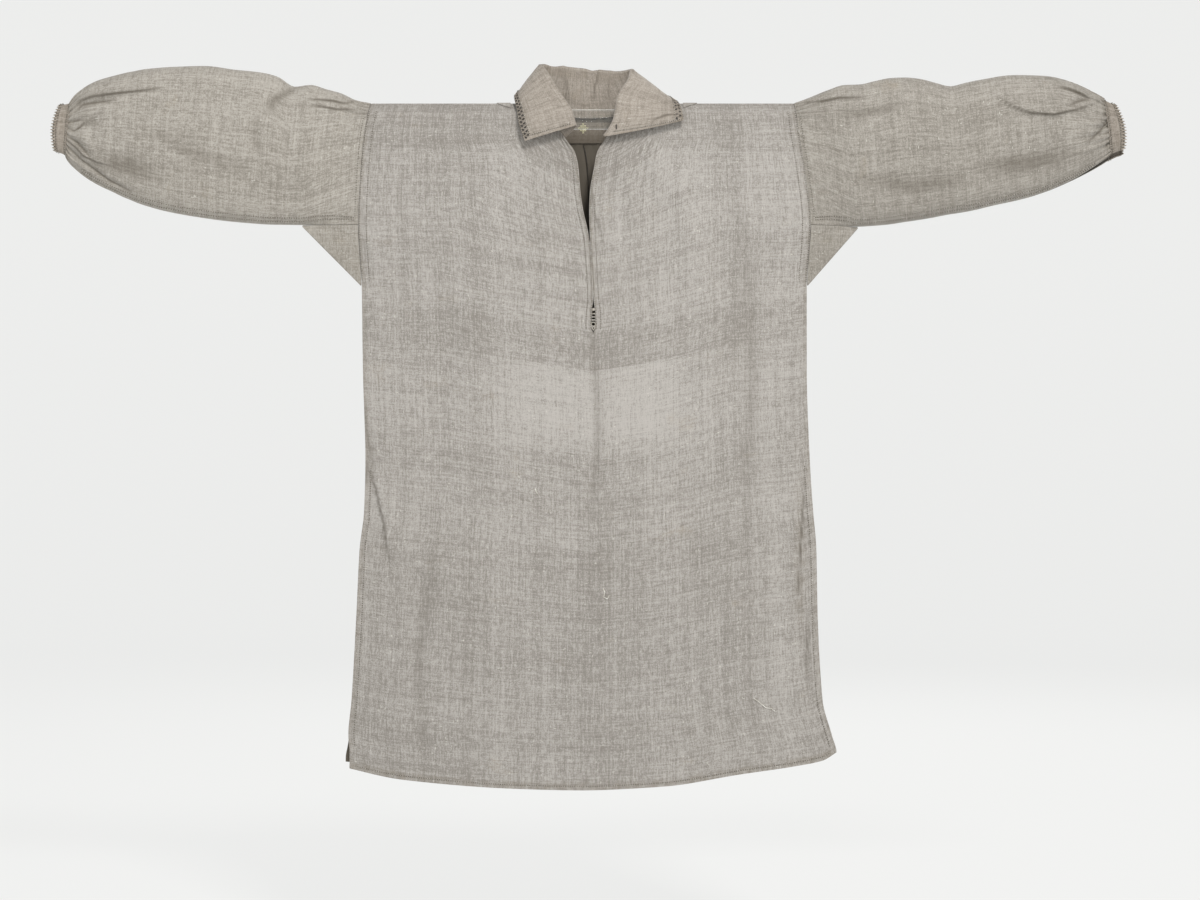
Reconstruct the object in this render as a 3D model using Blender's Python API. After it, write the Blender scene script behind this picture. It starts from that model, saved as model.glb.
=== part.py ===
"""Hand-sewn linen shirt with full gathered sleeves, hanging flat on a clear rod.

The cut is square: a straight front and back that meet along the shoulder, full sleeves gathered into
narrow cuffs, square underarm gussets folded on their diagonal, and a doubled collar that turns down over
gathered neck edges. The cloth is one wall thick everywhere, and open at the neck, hem and cuffs.

+X is the viewer's right, the front faces -Y, +Z is up, and the origin is the middle of the rod.
Sizes here are millimetres. Each mesh is written in metres.
"""

import math
from collections import namedtuple

import bpy
import numpy as np

METRES = 0.001

# Driving sizes
CLOTH = 1.5  # wall of one layer of linen, with the air in its weave
COLLAR_CLOTH = 1.6  # the collar is linen doubled
SEAM = 0.3  # space between two pieces that are sewn together
ROD_RADIUS = 16.0
ROD_HALF_LENGTH = 780.0
ROD_SIDES = 32
RIDGE = 25.6  # top of the pressed shoulder fold, above the rod's middle
SHOULDER_CLOTH = 4.85  # cloth from that fold forward to the shoulder seam
NECK_GATHERS_FRONT = 10  # on each side of the slit
NECK_GATHERS_BACK = 16
CUFF_GATHERS = 28  # all round one cuff
ARMHOLE_GATHERS = 10  # over the top of one armhole
GATHER_HEIGHT = 2.2
SLIT_FOOT = -342.0
LACE_TOP = -304.0
GUSSET_TOP = -169.0  # where the gusset, the sleeve and the body meet
GUSSET_FOOT = -265.0
VENT_TOP = -550.0  # below it the side seams are open
HEM_LEVEL = -1040.0

FACET_ALLOWANCE = 0.5  # keeps the flats of the cloth's faces off the rod

# The cloth bears on the rod from the foot of its straight slope down to the rod's middle
BEARING = ROD_RADIUS + SEAM + FACET_ALLOWANCE + CLOTH
LEAN = math.asin(BEARING / RIDGE)
SLOPE = BEARING / math.tan(LEAN)
RUN_TO_MIDDLE = SLOPE + BEARING * LEAN

SideRow = namedtuple("SideRow", "z left right")
SIDES = (
    SideRow(z=-1080, left=-381, right=397),
    SideRow(z=-1012, left=-381, right=397),
    SideRow(z=-985, left=-383, right=390),
    SideRow(z=-929, left=-378, right=375),
    SideRow(z=-788, left=-370, right=367),
    SideRow(z=-687, left=-365, right=365),
    SideRow(z=-627, left=-358, right=360),
    SideRow(z=VENT_TOP, left=-356, right=355),
    SideRow(z=-400, left=-360, right=350),
    SideRow(z=GUSSET_FOOT, left=-362, right=350),
    SideRow(z=GUSSET_TOP, left=-366, right=355),
    SideRow(z=-86, left=-362, right=346),
    SideRow(z=-31, left=-357, right=337),
    SideRow(z=26, left=-347, right=329),
)

# How far the back's free edges stand out beyond the front's, below the vents
ReachRow = namedtuple("ReachRow", "z left right")
BACK_REACH = (
    ReachRow(z=-1080, left=8.5, right=0),
    ReachRow(z=-1020, left=7, right=0),
    ReachRow(z=-985, left=0, right=0),
    ReachRow(z=VENT_TOP, left=0, right=0),
)

DepthRow = namedtuple("DepthRow", "z middle edge")
DEPTHS = (
    DepthRow(z=-1080, middle=17.5, edge=4.5),
    DepthRow(z=-850, middle=18.5, edge=4.0),
    DepthRow(z=-620, middle=19.5, edge=3.0),
    DepthRow(z=VENT_TOP, middle=19.5, edge=1.65),
    DepthRow(z=GUSSET_FOOT, middle=19.5, edge=1.65),
    DepthRow(z=GUSSET_TOP, middle=19.0, edge=13.5),
    DepthRow(z=-100, middle=18.5, edge=17.0),
    DepthRow(z=-40, middle=BEARING, edge=BEARING),
    DepthRow(z=26, middle=BEARING, edge=BEARING),
)
LENS_POWER = 3.0  # how long the body stays flat before it closes at its sides
FOLDS_START = 30.0  # folds rise from this far below the rod's middle
FOLDS_FULL = 90.0
FOLD_FREE_EDGE = 0.25  # share of the half width over which they die out towards a side

SlitRow = namedtuple("SlitRow", "z left right")
SLIT = (
    SlitRow(z=SLIT_FOOT, left=8.6, right=8.6),
    SlitRow(z=-334, left=4.6, right=12.6),
    SlitRow(z=-306, left=4.6, right=12.6),
    SlitRow(z=-296, left=7.0, right=10.2),
    SlitRow(z=-283, left=7.0, right=9.0),
    SlitRow(z=-228, left=4.6, right=6.0),
    SlitRow(z=-190, left=1.6, right=3.6),
    SlitRow(z=-145, left=-8.0, right=2.0),
    SlitRow(z=-118, left=-12.0, right=3.2),
    SlitRow(z=-78, left=-15.5, right=10.0),
    SlitRow(z=-57, left=-20.0, right=14.0),
    SlitRow(z=-32, left=-36.0, right=28.0),
)

HemRow = namedtuple("HemRow", "x front back")
HEM = (
    HemRow(x=-392, front=-1034, back=-1026),
    HemRow(x=-379, front=-1038, back=-1028),
    HemRow(x=-294, front=-1055, back=-1034),
    HemRow(x=-106, front=-1069, back=-1042),
    HemRow(x=-13, front=-1071, back=-1043),
    HemRow(x=120, front=-1065, back=-1040),
    HemRow(x=243, front=-1046, back=-1030),
    HemRow(x=334, front=-1033, back=-1022),
    HemRow(x=375, front=-1025, back=-1016),
    HemRow(x=397, front=-1012, back=-1010),
)

# Neck seam from the left front corner round the back: run is cloth from the ridge, minus in front
NeckRow = namedtuple("NeckRow", "place x run")
NECK = (
    NeckRow(place=0.00, x=-36, run=-64),
    NeckRow(place=0.08, x=-51, run=-46),
    NeckRow(place=0.16, x=-69, run=-27),
    NeckRow(place=0.24, x=-84, run=-4.85),
    NeckRow(place=0.28, x=-83, run=7),
    NeckRow(place=0.36, x=-66, run=22),
    NeckRow(place=0.50, x=0, run=29.5),
    NeckRow(place=0.64, x=70, run=22),
    NeckRow(place=0.72, x=88, run=7),
    NeckRow(place=0.76, x=88, run=-4.85),
    NeckRow(place=0.84, x=72, run=-29),
    NeckRow(place=0.92, x=52, run=-50),
    NeckRow(place=1.00, x=28, run=-64),
)
NECK_RIDGE_LEFT = 0.24
NECK_RIDGE_RIGHT = 0.76

# The collar's fold and its outer edge, beside the same places of the neck seam
CollarRow = namedtuple("CollarRow", "place fold_x fold_y fold_z edge_x edge_y edge_z")
COLLAR = (
    CollarRow(place=0.00, fold_x=-19, fold_y=-31, fold_z=-14, edge_x=-100, edge_y=-29, edge_z=-38),
    CollarRow(place=0.08, fold_x=-25, fold_y=-30, fold_z=8, edge_x=-109, edge_y=-27, edge_z=-11),
    CollarRow(place=0.16, fold_x=-47, fold_y=-21, fold_z=44, edge_x=-113, edge_y=-19, edge_z=13),
    CollarRow(place=0.24, fold_x=-70, fold_y=-4, fold_z=82, edge_x=-117, edge_y=0, edge_z=35),
    CollarRow(place=0.28, fold_x=-76, fold_y=8, fold_z=89, edge_x=-113, edge_y=18, edge_z=42),
    CollarRow(place=0.36, fold_x=-52, fold_y=24, fold_z=86, edge_x=-80, edge_y=33, edge_z=8),
    CollarRow(place=0.50, fold_x=-6, fold_y=28, fold_z=81, edge_x=0, edge_y=36, edge_z=-6),
    CollarRow(place=0.64, fold_x=44, fold_y=25, fold_z=78, edge_x=86, edge_y=33, edge_z=6),
    CollarRow(place=0.72, fold_x=69, fold_y=10, fold_z=81, edge_x=130, edge_y=20, edge_z=33),
    CollarRow(place=0.76, fold_x=65, fold_y=-5, fold_z=66, edge_x=143, edge_y=-5, edge_z=26.5),
    CollarRow(place=0.84, fold_x=47, fold_y=-22, fold_z=34, edge_x=149, edge_y=-19, edge_z=13),
    CollarRow(place=0.92, fold_x=42, fold_y=-29, fold_z=0, edge_x=151, edge_y=-25, edge_z=4),
    CollarRow(place=1.00, fold_x=27, fold_y=-31, fold_z=-30, edge_x=152, edge_y=-28, edge_z=-5),
)
COLLAR_STATIONS = 28
FOLD_HALF_GAP = 2.1  # half the space between the stand and the fall, beside the fold
FOLD_DROP = 3.4

# Sleeves: share is how far along the sleeve, from the armhole to the cuff seam
SleeveRow = namedtuple("SleeveRow", "share top bottom depth")
SLEEVE_LEFT = (
    SleeveRow(share=0.00, top=25.6, bottom=-169, depth=BEARING),
    SleeveRow(share=0.05, top=31, bottom=-169, depth=19),
    SleeveRow(share=0.10, top=42, bottom=-169, depth=22),
    SleeveRow(share=0.15, top=48.5, bottom=-168.8, depth=24),
    SleeveRow(share=0.20, top=55, bottom=-168.8, depth=26),
    SleeveRow(share=0.254, top=52.5, bottom=-168.5, depth=27),
    SleeveRow(share=0.31, top=68, bottom=-168, depth=29),
    SleeveRow(share=0.36, top=74.5, bottom=-166.5, depth=30),
    SleeveRow(share=0.455, top=79.5, bottom=-162.5, depth=30.5),
    SleeveRow(share=0.555, top=85.5, bottom=-156, depth=31),
    SleeveRow(share=0.655, top=84, bottom=-147.5, depth=31),
    SleeveRow(share=0.75, top=80.5, bottom=-135, depth=31),
    SleeveRow(share=0.80, top=76, bottom=-125.5, depth=30),
    SleeveRow(share=0.84, top=74, bottom=-119.5, depth=29),
    SleeveRow(share=0.88, top=77, bottom=-118, depth=28),
    SleeveRow(share=0.92, top=78, bottom=-115, depth=26),
    SleeveRow(share=1.00, top=84, bottom=-118, depth=12),
)
SLEEVE_RIGHT = (
    SleeveRow(share=0.00, top=25.6, bottom=-169, depth=BEARING),
    SleeveRow(share=0.05, top=35, bottom=-169.5, depth=20),
    SleeveRow(share=0.11, top=47, bottom=-170.5, depth=24),
    SleeveRow(share=0.16, top=54.5, bottom=-171.5, depth=26),
    SleeveRow(share=0.215, top=56, bottom=-170, depth=28),
    SleeveRow(share=0.263, top=61.5, bottom=-168, depth=29),
    SleeveRow(share=0.31, top=66, bottom=-164.5, depth=30),
    SleeveRow(share=0.36, top=67, bottom=-161, depth=30),
    SleeveRow(share=0.41, top=64.5, bottom=-157, depth=31),
    SleeveRow(share=0.457, top=58.5, bottom=-152.5, depth=31),
    SleeveRow(share=0.505, top=53, bottom=-149, depth=31),
    SleeveRow(share=0.554, top=58.5, bottom=-144.5, depth=31),
    SleeveRow(share=0.60, top=63, bottom=-139, depth=31),
    SleeveRow(share=0.72, top=71, bottom=-126, depth=31),
    SleeveRow(share=0.83, top=69, bottom=-108, depth=30),
    SleeveRow(share=0.91, top=56, bottom=-92, depth=27),
    SleeveRow(share=0.96, top=44, bottom=-78, depth=22),
    SleeveRow(share=1.00, top=30, bottom=-56, depth=12),
)
GUSSET_SHARE_LEFT = 0.195
GUSSET_SHARE_RIGHT = 0.16
STATIONS_LEFT = (0, 0.04, 0.10, 0.16, GUSSET_SHARE_LEFT, 0.254, 0.31, 0.42, 0.56, 0.70, 0.80, 0.87, 0.93, 1)
STATIONS_RIGHT = (0, 0.04, 0.10, GUSSET_SHARE_RIGHT, 0.24, 0.33, 0.42, 0.505, 0.58, 0.70, 0.80, 0.88, 0.94, 1)
SLEEVE_SIDE_COLUMNS = CUFF_GATHERS - ARMHOLE_GATHERS  # columns of one flat side, below the gathered top
TOP_START = 0.42  # share of the armhole edge where the gathered top begins
TO_CUFF = 0.80  # from here the sleeve turns into the cuff's own loop

CuffRow = namedtuple("CuffRow", "corner x z")
CUFF_LEFT = (
    CuffRow(corner="seam_top", x=-826, z=25),
    CuffRow(corner="seam_bottom", x=-834, z=-57),
    CuffRow(corner="edge_top", x=-845, z=22),
    CuffRow(corner="edge_bottom", x=-853, z=-50),
)
CUFF_RIGHT = (
    CuffRow(corner="seam_top", x=824, z=30),
    CuffRow(corner="seam_bottom", x=835, z=-56),
    CuffRow(corner="edge_top", x=843, z=22),
    CuffRow(corner="edge_bottom", x=857, z=-47),
)
CUFF_DEPTH = 12.0
CUFF_BULGE = 6.0  # how far the middle of the cuff stands out beyond its corners
CUFF_COLUMNS = 28
CUFF_GAP_LEFT = 2.0  # half the space between the cuff's two ends
CUFF_GAP_RIGHT = 3.5
CUFF_BACK_DROP_RIGHT = 8.0  # the back end hangs below the front end

# Soft folds of the panels: a ridge from one end to the other, minus for a trough
FoldRow = namedtuple("FoldRow", "x0 z0 x1 z1 width height")
FRONT_FOLDS = (
    FoldRow(x0=131, z0=-65, x1=192, z1=-300, width=26, height=5.0),
    FoldRow(x0=192, z0=-300, x1=196, z1=-560, width=30, height=4.0),
    FoldRow(x0=-213, z0=-340, x1=-253, z1=-540, width=30, height=-4.0),
    FoldRow(x0=-352, z0=-560, x1=-316, z1=-700, width=24, height=4.0),
    FoldRow(x0=-300, z0=-675, x1=-180, z1=-755, width=32, height=3.5),
    FoldRow(x0=336, z0=-590, x1=330, z1=-780, width=20, height=4.5),
    FoldRow(x0=-60, z0=-120, x1=-95, z1=-300, width=26, height=3.0),
)
BACK_FOLDS = (
    FoldRow(x0=-90, z0=-70, x1=-150, z1=-420, width=34, height=5.0),
    FoldRow(x0=60, z0=-80, x1=95, z1=-520, width=36, height=4.5),
    FoldRow(x0=-10, z0=-110, x1=-20, z1=-640, width=30, height=-4.0),
    FoldRow(x0=-250, z0=-380, x1=-215, z1=-800, width=38, height=4.0),
    FoldRow(x0=240, z0=-330, x1=262, z1=-860, width=40, height=4.5),
)

# Rows of the two panels, as cloth below their top edge
FRONT_ROWS = (
    *(0, 6, 13, 20, 27, 38, 60, 95, 145, 200),
    *(251, 272, 302, 310, 420, 540, 670, 800, 930, 1039),
)
BACK_ROWS = (0, 4.55, 11, 17.5, 24, 30.5, 37, 55, 90, 145, 230, 350, 490, 640, 790, 940, 1018, 1073)
SHOULDER_COLUMNS = 7
SPREAD = 260.0  # cloth over which the columns spread from the neck to even spacing

LINING_HALF_WIDTH = 62.0
LINING_TOP = -2.5
LINING_FOOT = -36.0
LINING_CLOTH = 1.1
LINING_MARGIN = 25.0  # cloth over which the back returns to its own line beside the lining
LINING_CLEAR = -90.0  # and below it
LINING_LOW = 4.0  # the back leans out to cover the lining's top edge between these heights
LINING_HIGH = 18.0
NECK_GUSSET_CLOTH = 1.2
NECK_GUSSET_LENGTH = 22.0
NECK_GUSSET_HALF_WIDTH = 13.0
NECK_GUSSET_START_LEFT = -124.0
NECK_GUSSET_START_RIGHT = 152.0
NECK_GUSSET_POINT = 0.08  # width left at its point
LACE_HALF_WIDTH = 3.35
LACE_HOLE_HALF_WIDTH = 2.15
LACE_CLOTH = 1.2


def column(rows, name):
    return np.array([getattr(row, name) for row in rows], float)


def smooth(rows, name, at):
    """A column's value at a place in the first column: cubics between rows that never overshoot."""
    place = np.array([row[0] for row in rows], float)
    value = column(rows, name)
    step = np.diff(place)
    slope = np.diff(value) / step
    total = slope[:-1] + slope[1:]
    product = slope[:-1] * slope[1:]
    inner = np.where(product > 0, 2 * product / np.where(total == 0, 1, total), 0)
    tangent = np.concatenate((slope[:1], inner, slope[-1:]))
    at = np.clip(np.asarray(at, float), place[0], place[-1])
    row = np.clip(np.searchsorted(place, at, side="right") - 1, 0, len(step) - 1)
    t = (at - place[row]) / step[row]
    return (
        (1 + 2 * t) * (1 - t) ** 2 * value[row]
        + t * (1 - t) ** 2 * step[row] * tangent[row]
        + t * t * (3 - 2 * t) * value[row + 1]
        + t * t * (t - 1) * step[row] * tangent[row + 1]
    )


def ease(low, high, at):
    """0 below low, 1 above high, and a smooth step between."""
    t = np.clip((at - low) / (high - low), 0, 1)
    return t * t * (3 - 2 * t)


def mix(a, b, share):
    return a + (b - a) * share


def stack(x, y, z):
    return np.stack(np.broadcast_arrays(x, y, z), axis=-1)


def hang(run):
    """Depth and height of the cloth's outer face: a slope from the ridge to the rod, round it, then down."""
    run = np.abs(run)
    angle = np.clip(LEAN - (run - SLOPE) / BEARING, 0, LEAN)
    sloping = run < SLOPE
    depth = np.where(sloping, run * math.sin(LEAN), BEARING * np.cos(angle))
    height = np.where(sloping, RIDGE - run * math.cos(LEAN), BEARING * np.sin(angle))
    return depth, height - np.maximum(run - RUN_TO_MIDDLE, 0)


def run_at(z):
    """Cloth from the ridge down to a height below the rod's middle."""
    return RUN_TO_MIDDLE - z


def fold_height(folds, x, z):
    """Sum of soft ridges, each a bell across its line that fades towards its two ends."""
    total = np.zeros(np.broadcast(x, z).shape)
    for fold in folds:
        along = np.array((fold.x1 - fold.x0, fold.z1 - fold.z0), float)
        length = math.hypot(*along)
        share = ((x - fold.x0) * along[0] + (z - fold.z0) * along[1]) / length**2
        across = ((x - fold.x0) * along[1] - (z - fold.z0) * along[0]) / length
        fade = ease(-0.15, 0.25, share) * (1 - ease(0.75, 1.15, share))
        total = total + fold.height * fade * np.exp(-((across / fold.width) ** 2))
    return total


def body(x, run, facing):
    """Outer face of the body: facing is -1 in front and 1 behind; run is signed the same way."""
    depth, z = hang(run)
    left = smooth(SIDES, "left", z)
    right = smooth(SIDES, "right", z)
    across = np.clip(np.abs(2 * (x - left) / (right - left) - 1), 0, 1)
    edge = smooth(DEPTHS, "edge", z)
    lens = edge + (smooth(DEPTHS, "middle", z) - edge) * (1 - across**LENS_POWER)
    folds = FRONT_FOLDS if facing < 0 else BACK_FOLDS
    folded = ease(0, FOLD_FREE_EDGE, 1 - across) * ease(FOLDS_START, FOLDS_FULL, -z)
    lens = lens + fold_height(folds, x, z) * folded
    if facing > 0:
        beside = ease(LINING_HALF_WIDTH, LINING_HALF_WIDTH + LINING_MARGIN, np.abs(x))
        lining = (LINING_CLOTH + 2 * SEAM) * (1 - beside) * ease(LINING_CLEAR, LINING_FOOT, z)
        depth = depth + lining * (1 - ease(LINING_LOW, LINING_HIGH, z))
        lens = lens + lining
    depth = np.where(z < 0, lens, depth)
    return stack(x, np.where(np.sign(run) == 0, 1, np.sign(run)) * depth, z)


def patch_faces(rows, columns, start=0):
    """Four-sided faces of a grid whose points run row by row."""
    index = start + np.arange(rows * columns).reshape(rows, columns)
    return np.stack((index[:-1, :-1], index[1:, :-1], index[1:, 1:], index[:-1, 1:]), axis=-1).reshape(-1, 4)


def join_patches(patches):
    """Points and faces of grids, with points that coincide made one."""
    points = []
    faces = []
    start = 0
    for patch in patches:
        rows, columns = patch.shape[:2]
        points.append(patch.reshape(-1, 3))
        faces.append(patch_faces(rows, columns, start))
        start += rows * columns
    points = np.concatenate(points)
    faces = np.concatenate(faces)
    _, first, place = np.unique(np.round(points, 4), axis=0, return_index=True, return_inverse=True)
    return first, place.reshape(-1)[faces], points


def vertex_normals(points, faces):
    """Mean of the normals of the faces round each point, by area."""
    crossing = np.cross(points[faces[:, 2]] - points[faces[:, 0]], points[faces[:, 3]] - points[faces[:, 1]])
    total = np.zeros_like(points)
    for corner in range(4):
        np.add.at(total, faces[:, corner], crossing)
    return total / np.maximum(np.linalg.norm(total, axis=1, keepdims=True), 1e-9)


def rim_faces(faces, count):
    """Faces that close a wall along the edges that only one outer face has."""
    edges = np.concatenate([np.stack((faces[:, i], faces[:, (i + 1) % 4]), axis=1) for i in range(4)])
    edges = edges[edges[:, 0] != edges[:, 1]]
    have = set(map(tuple, edges.tolist()))
    return [(b, a, a + count, b + count) for a, b in edges.tolist() if (b, a) not in have]


def add_solid(name, vertices, faces, material):
    mesh = bpy.data.meshes.new(name)
    mesh.from_pydata([tuple(point) for point in (np.asarray(vertices) * METRES).tolist()], [], faces)
    mesh.validate()
    mesh.shade_smooth()
    mesh.set_sharp_from_angle(angle=math.radians(40))
    mesh.materials.append(material)
    piece = bpy.data.objects.new(name, mesh)
    bpy.context.scene.collection.objects.link(piece)
    return piece


def distinct(face):
    """A face without repeated corners, so that a collapsed edge leaves a triangle."""
    kept = []
    for corner in face:
        if corner not in kept:
            kept.append(corner)
    return tuple(kept)


def add_wall(name, patches, material, thickness=CLOTH, lifts=None, inner=None, level_ends=False):
    """A closed wall: outer face on the patches, raised by lifts along its normals, inner face behind it.

    With level_ends the first and last rows rise square to X, so that they stay in their seams.
    """
    first, faces, points = join_patches(patches)
    base = points[first]
    faces = np.array([face for face in faces.tolist() if len(set(face)) > 2])
    if inner is None:
        normal = vertex_normals(base, faces)
        if level_ends:
            row = np.concatenate([np.repeat(np.arange(len(patch)), patch.shape[1]) for patch in patches])[first]
            normal[(row == 0) | (row == row.max()), 0] = 0
            normal /= np.linalg.norm(normal, axis=1, keepdims=True)
        lift = np.zeros(len(points)) if lifts is None else np.concatenate([lift.reshape(-1) for lift in lifts])
        outer = base + normal * lift[first, None]
        behind = outer - normal * thickness
    else:
        outer = base
        behind = np.concatenate([patch.reshape(-1, 3) for patch in inner])[first]
    count = len(base)
    solid = [distinct(face) for face in faces.tolist()]
    back = [tuple(corner + count for corner in reversed(face)) for face in solid]
    rim = [distinct(face) for face in rim_faces(faces, count)]
    return add_solid(name, np.concatenate((outer, behind)), solid + back + rim, material)


def cloth_material(name, colour, roughness=0.9):
    material = bpy.data.materials.new(name)
    material.use_nodes = True
    shader = material.node_tree.nodes["Principled BSDF"]
    shader.inputs["Base Color"].default_value = (*colour, 1)
    shader.inputs["Roughness"].default_value = roughness
    shader.inputs["Metallic"].default_value = 0
    return material


def gather_fade(below):
    """Full height of a neck gather at its seam, and none once the cloth hangs free."""
    return 1 - ease(6, 120, below)


def neck_edge(places):
    """Where the neck seam lies on the panels: x and the run of cloth from the ridge."""
    return smooth(NECK, "x", places), smooth(NECK, "run", places)


def half_front(side):
    """Base grid and gather heights of the front, from one armhole to the slit; side is left or right."""
    shoulder = np.arange(SHOULDER_COLUMNS) / SHOULDER_COLUMNS
    gathered = np.linspace(0, 1, 2 * NECK_GATHERS_FRONT + 1)
    ends = (NECK_RIDGE_LEFT, 0.0) if side == "left" else (NECK_RIDGE_RIGHT, 1.0)
    neck_x, neck_run = neck_edge(mix(ends[0], ends[1], gathered))
    top = np.concatenate((np.full(SHOULDER_COLUMNS, SHOULDER_CLOTH), np.abs(neck_run)))
    even = np.linspace(0, 1, len(top))
    rows = np.array(FRONT_ROWS)[:, None] / FRONT_ROWS[-1]

    # The hem is read at the even spacing that the columns have reached there
    foot_x = mix(smooth(SIDES, side, HEM_LEVEL), SLIT[0].left, even)
    hem = run_at(smooth(HEM, "front", foot_x))
    run = mix(top, hem, rows)
    z = hang(run)[1]
    side_x = smooth(SIDES, side, z)
    slit_x = smooth(SLIT, side, z)
    near = np.concatenate(
        (
            mix(side_x[:, :SHOULDER_COLUMNS], neck_x[0], shoulder),
            neck_x + (slit_x[:, SHOULDER_COLUMNS:] - neck_x[-1]) * gathered,
        ),
        axis=1,
    )
    low = mix(side_x, slit_x, even)
    spread = ease(0, SPREAD, run - top)
    x = mix(near, low, spread)
    x[:, 0] = side_x[:, 0]
    x[:, -1] = slit_x[:, -1]
    base = body(x, -run, -1)
    wave = np.concatenate((np.zeros(SHOULDER_COLUMNS), np.arange(len(gathered)) % 2)) * GATHER_HEIGHT
    lift = wave * gather_fade(run - top)
    if side == "right":
        return base[:, ::-1], lift[:, ::-1]
    return base, lift


def build_front(linen):
    left, left_lift = half_front("left")
    right, right_lift = half_front("right")
    return add_wall("front", [left, right], linen, lifts=[left_lift, right_lift])


def build_back(linen):
    """The back, over the shoulder ridge to the seam in front of it, gathered along the neck."""
    seam_run = SEAM - SHOULDER_CLOTH
    gathered = np.linspace(NECK_RIDGE_LEFT, NECK_RIDGE_RIGHT, 2 * NECK_GATHERS_BACK + 1)
    neck_x, neck_run = neck_edge(gathered)
    neck_run = np.maximum(neck_run, seam_run)
    shoulder = np.arange(SHOULDER_COLUMNS) / SHOULDER_COLUMNS
    ridge = np.full(SHOULDER_COLUMNS, seam_run)
    top = np.concatenate((ridge, neck_run, ridge))
    even = np.linspace(0, 1, len(top))
    foot_x = mix(smooth(SIDES, "left", HEM_LEVEL), smooth(SIDES, "right", HEM_LEVEL), even)
    hem = run_at(smooth(HEM, "back", foot_x))
    rows = np.array(BACK_ROWS)[:, None] / BACK_ROWS[-1]
    run = mix(top, hem, rows)
    z = hang(run)[1]
    left = smooth(SIDES, "left", z) - smooth(BACK_REACH, "left", z)
    right = smooth(SIDES, "right", z) + smooth(BACK_REACH, "right", z)
    near = np.concatenate(
        (
            mix(left[:, :SHOULDER_COLUMNS], neck_x[0], shoulder),
            np.broadcast_to(neck_x, (len(rows), len(neck_x))),
            mix(right[:, :SHOULDER_COLUMNS], neck_x[-1], shoulder)[:, ::-1],
        ),
        axis=1,
    )
    low = mix(left, right, even)
    spread = ease(0, SPREAD, run - top)
    x = mix(near, low, spread)
    x[:, 0] = left[:, 0]
    x[:, -1] = right[:, -1]
    base = body(x, run, 1)
    wave = np.zeros(len(top))
    wave[SHOULDER_COLUMNS + 1 : -SHOULDER_COLUMNS - 1] = np.arange(len(gathered) - 2) % 2 * GATHER_HEIGHT
    wave = wave * ease(4, 12, top)
    lift = wave * gather_fade(run - top)
    return add_wall("back", [base[:, ::-1]], linen, lifts=[lift[:, ::-1]])


def cuff_corner(rows, name):
    row = next(row for row in rows if row.corner == name)
    return np.array((row.x, row.z), float)


def cuff_loop(rows, share, along, gap, back_drop=0.0):
    """Outer face of a cuff: share 0 to 1 from its front end over the top to its back end."""
    top = mix(cuff_corner(rows, "seam_top"), cuff_corner(rows, "edge_top"), along)
    bottom = mix(cuff_corner(rows, "seam_bottom"), cuff_corner(rows, "edge_bottom"), along)
    turn = np.pi * (2 * share - 0.5)
    rise = (1 + np.sin(turn)) / 2
    x = mix(bottom[0], top[0], rise)
    outward = np.sign(top[0]) * CUFF_BULGE * along * np.sin(np.pi * rise)
    front = share < 0.5
    drop = np.where(front, 0, back_drop) * (1 - rise)
    depth = gap + (CUFF_DEPTH - gap) * np.abs(np.cos(turn)) ** 0.8
    return stack(x + outward, np.where(front, -depth, depth), mix(bottom[1], top[1], rise) - drop)


def sleeve_columns():
    """Share of the armhole edge and share of the cuff for each column of a sleeve."""
    gathered = 2 * ARMHOLE_GATHERS
    total = 2 * SLEEVE_SIDE_COLUMNS + gathered
    armhole = np.concatenate(
        (
            np.linspace(0, TOP_START, SLEEVE_SIDE_COLUMNS, endpoint=False),
            np.linspace(TOP_START, 1 - TOP_START, gathered, endpoint=False),
            np.linspace(1 - TOP_START, 1, SLEEVE_SIDE_COLUMNS + 1),
        )
    )
    return armhole, np.linspace(0, 1, total + 1)


def stations(side):
    return STATIONS_LEFT if side == "left" else STATIONS_RIGHT


def armhole_loop(side, share):
    """The body's armhole edge from the front underarm over the ridge to the back underarm."""
    half_run = run_at(GUSSET_TOP)
    run = (share - 0.5) * 2 * half_run
    z = hang(run)[1]
    x = smooth(SIDES, side, z)
    front = body(x, np.where(run == 0, 1e-9, run), -1)
    back = body(x, np.where(run == 0, 1e-9, run), 1)
    return np.where((run < 0)[..., None], front, back)


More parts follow.
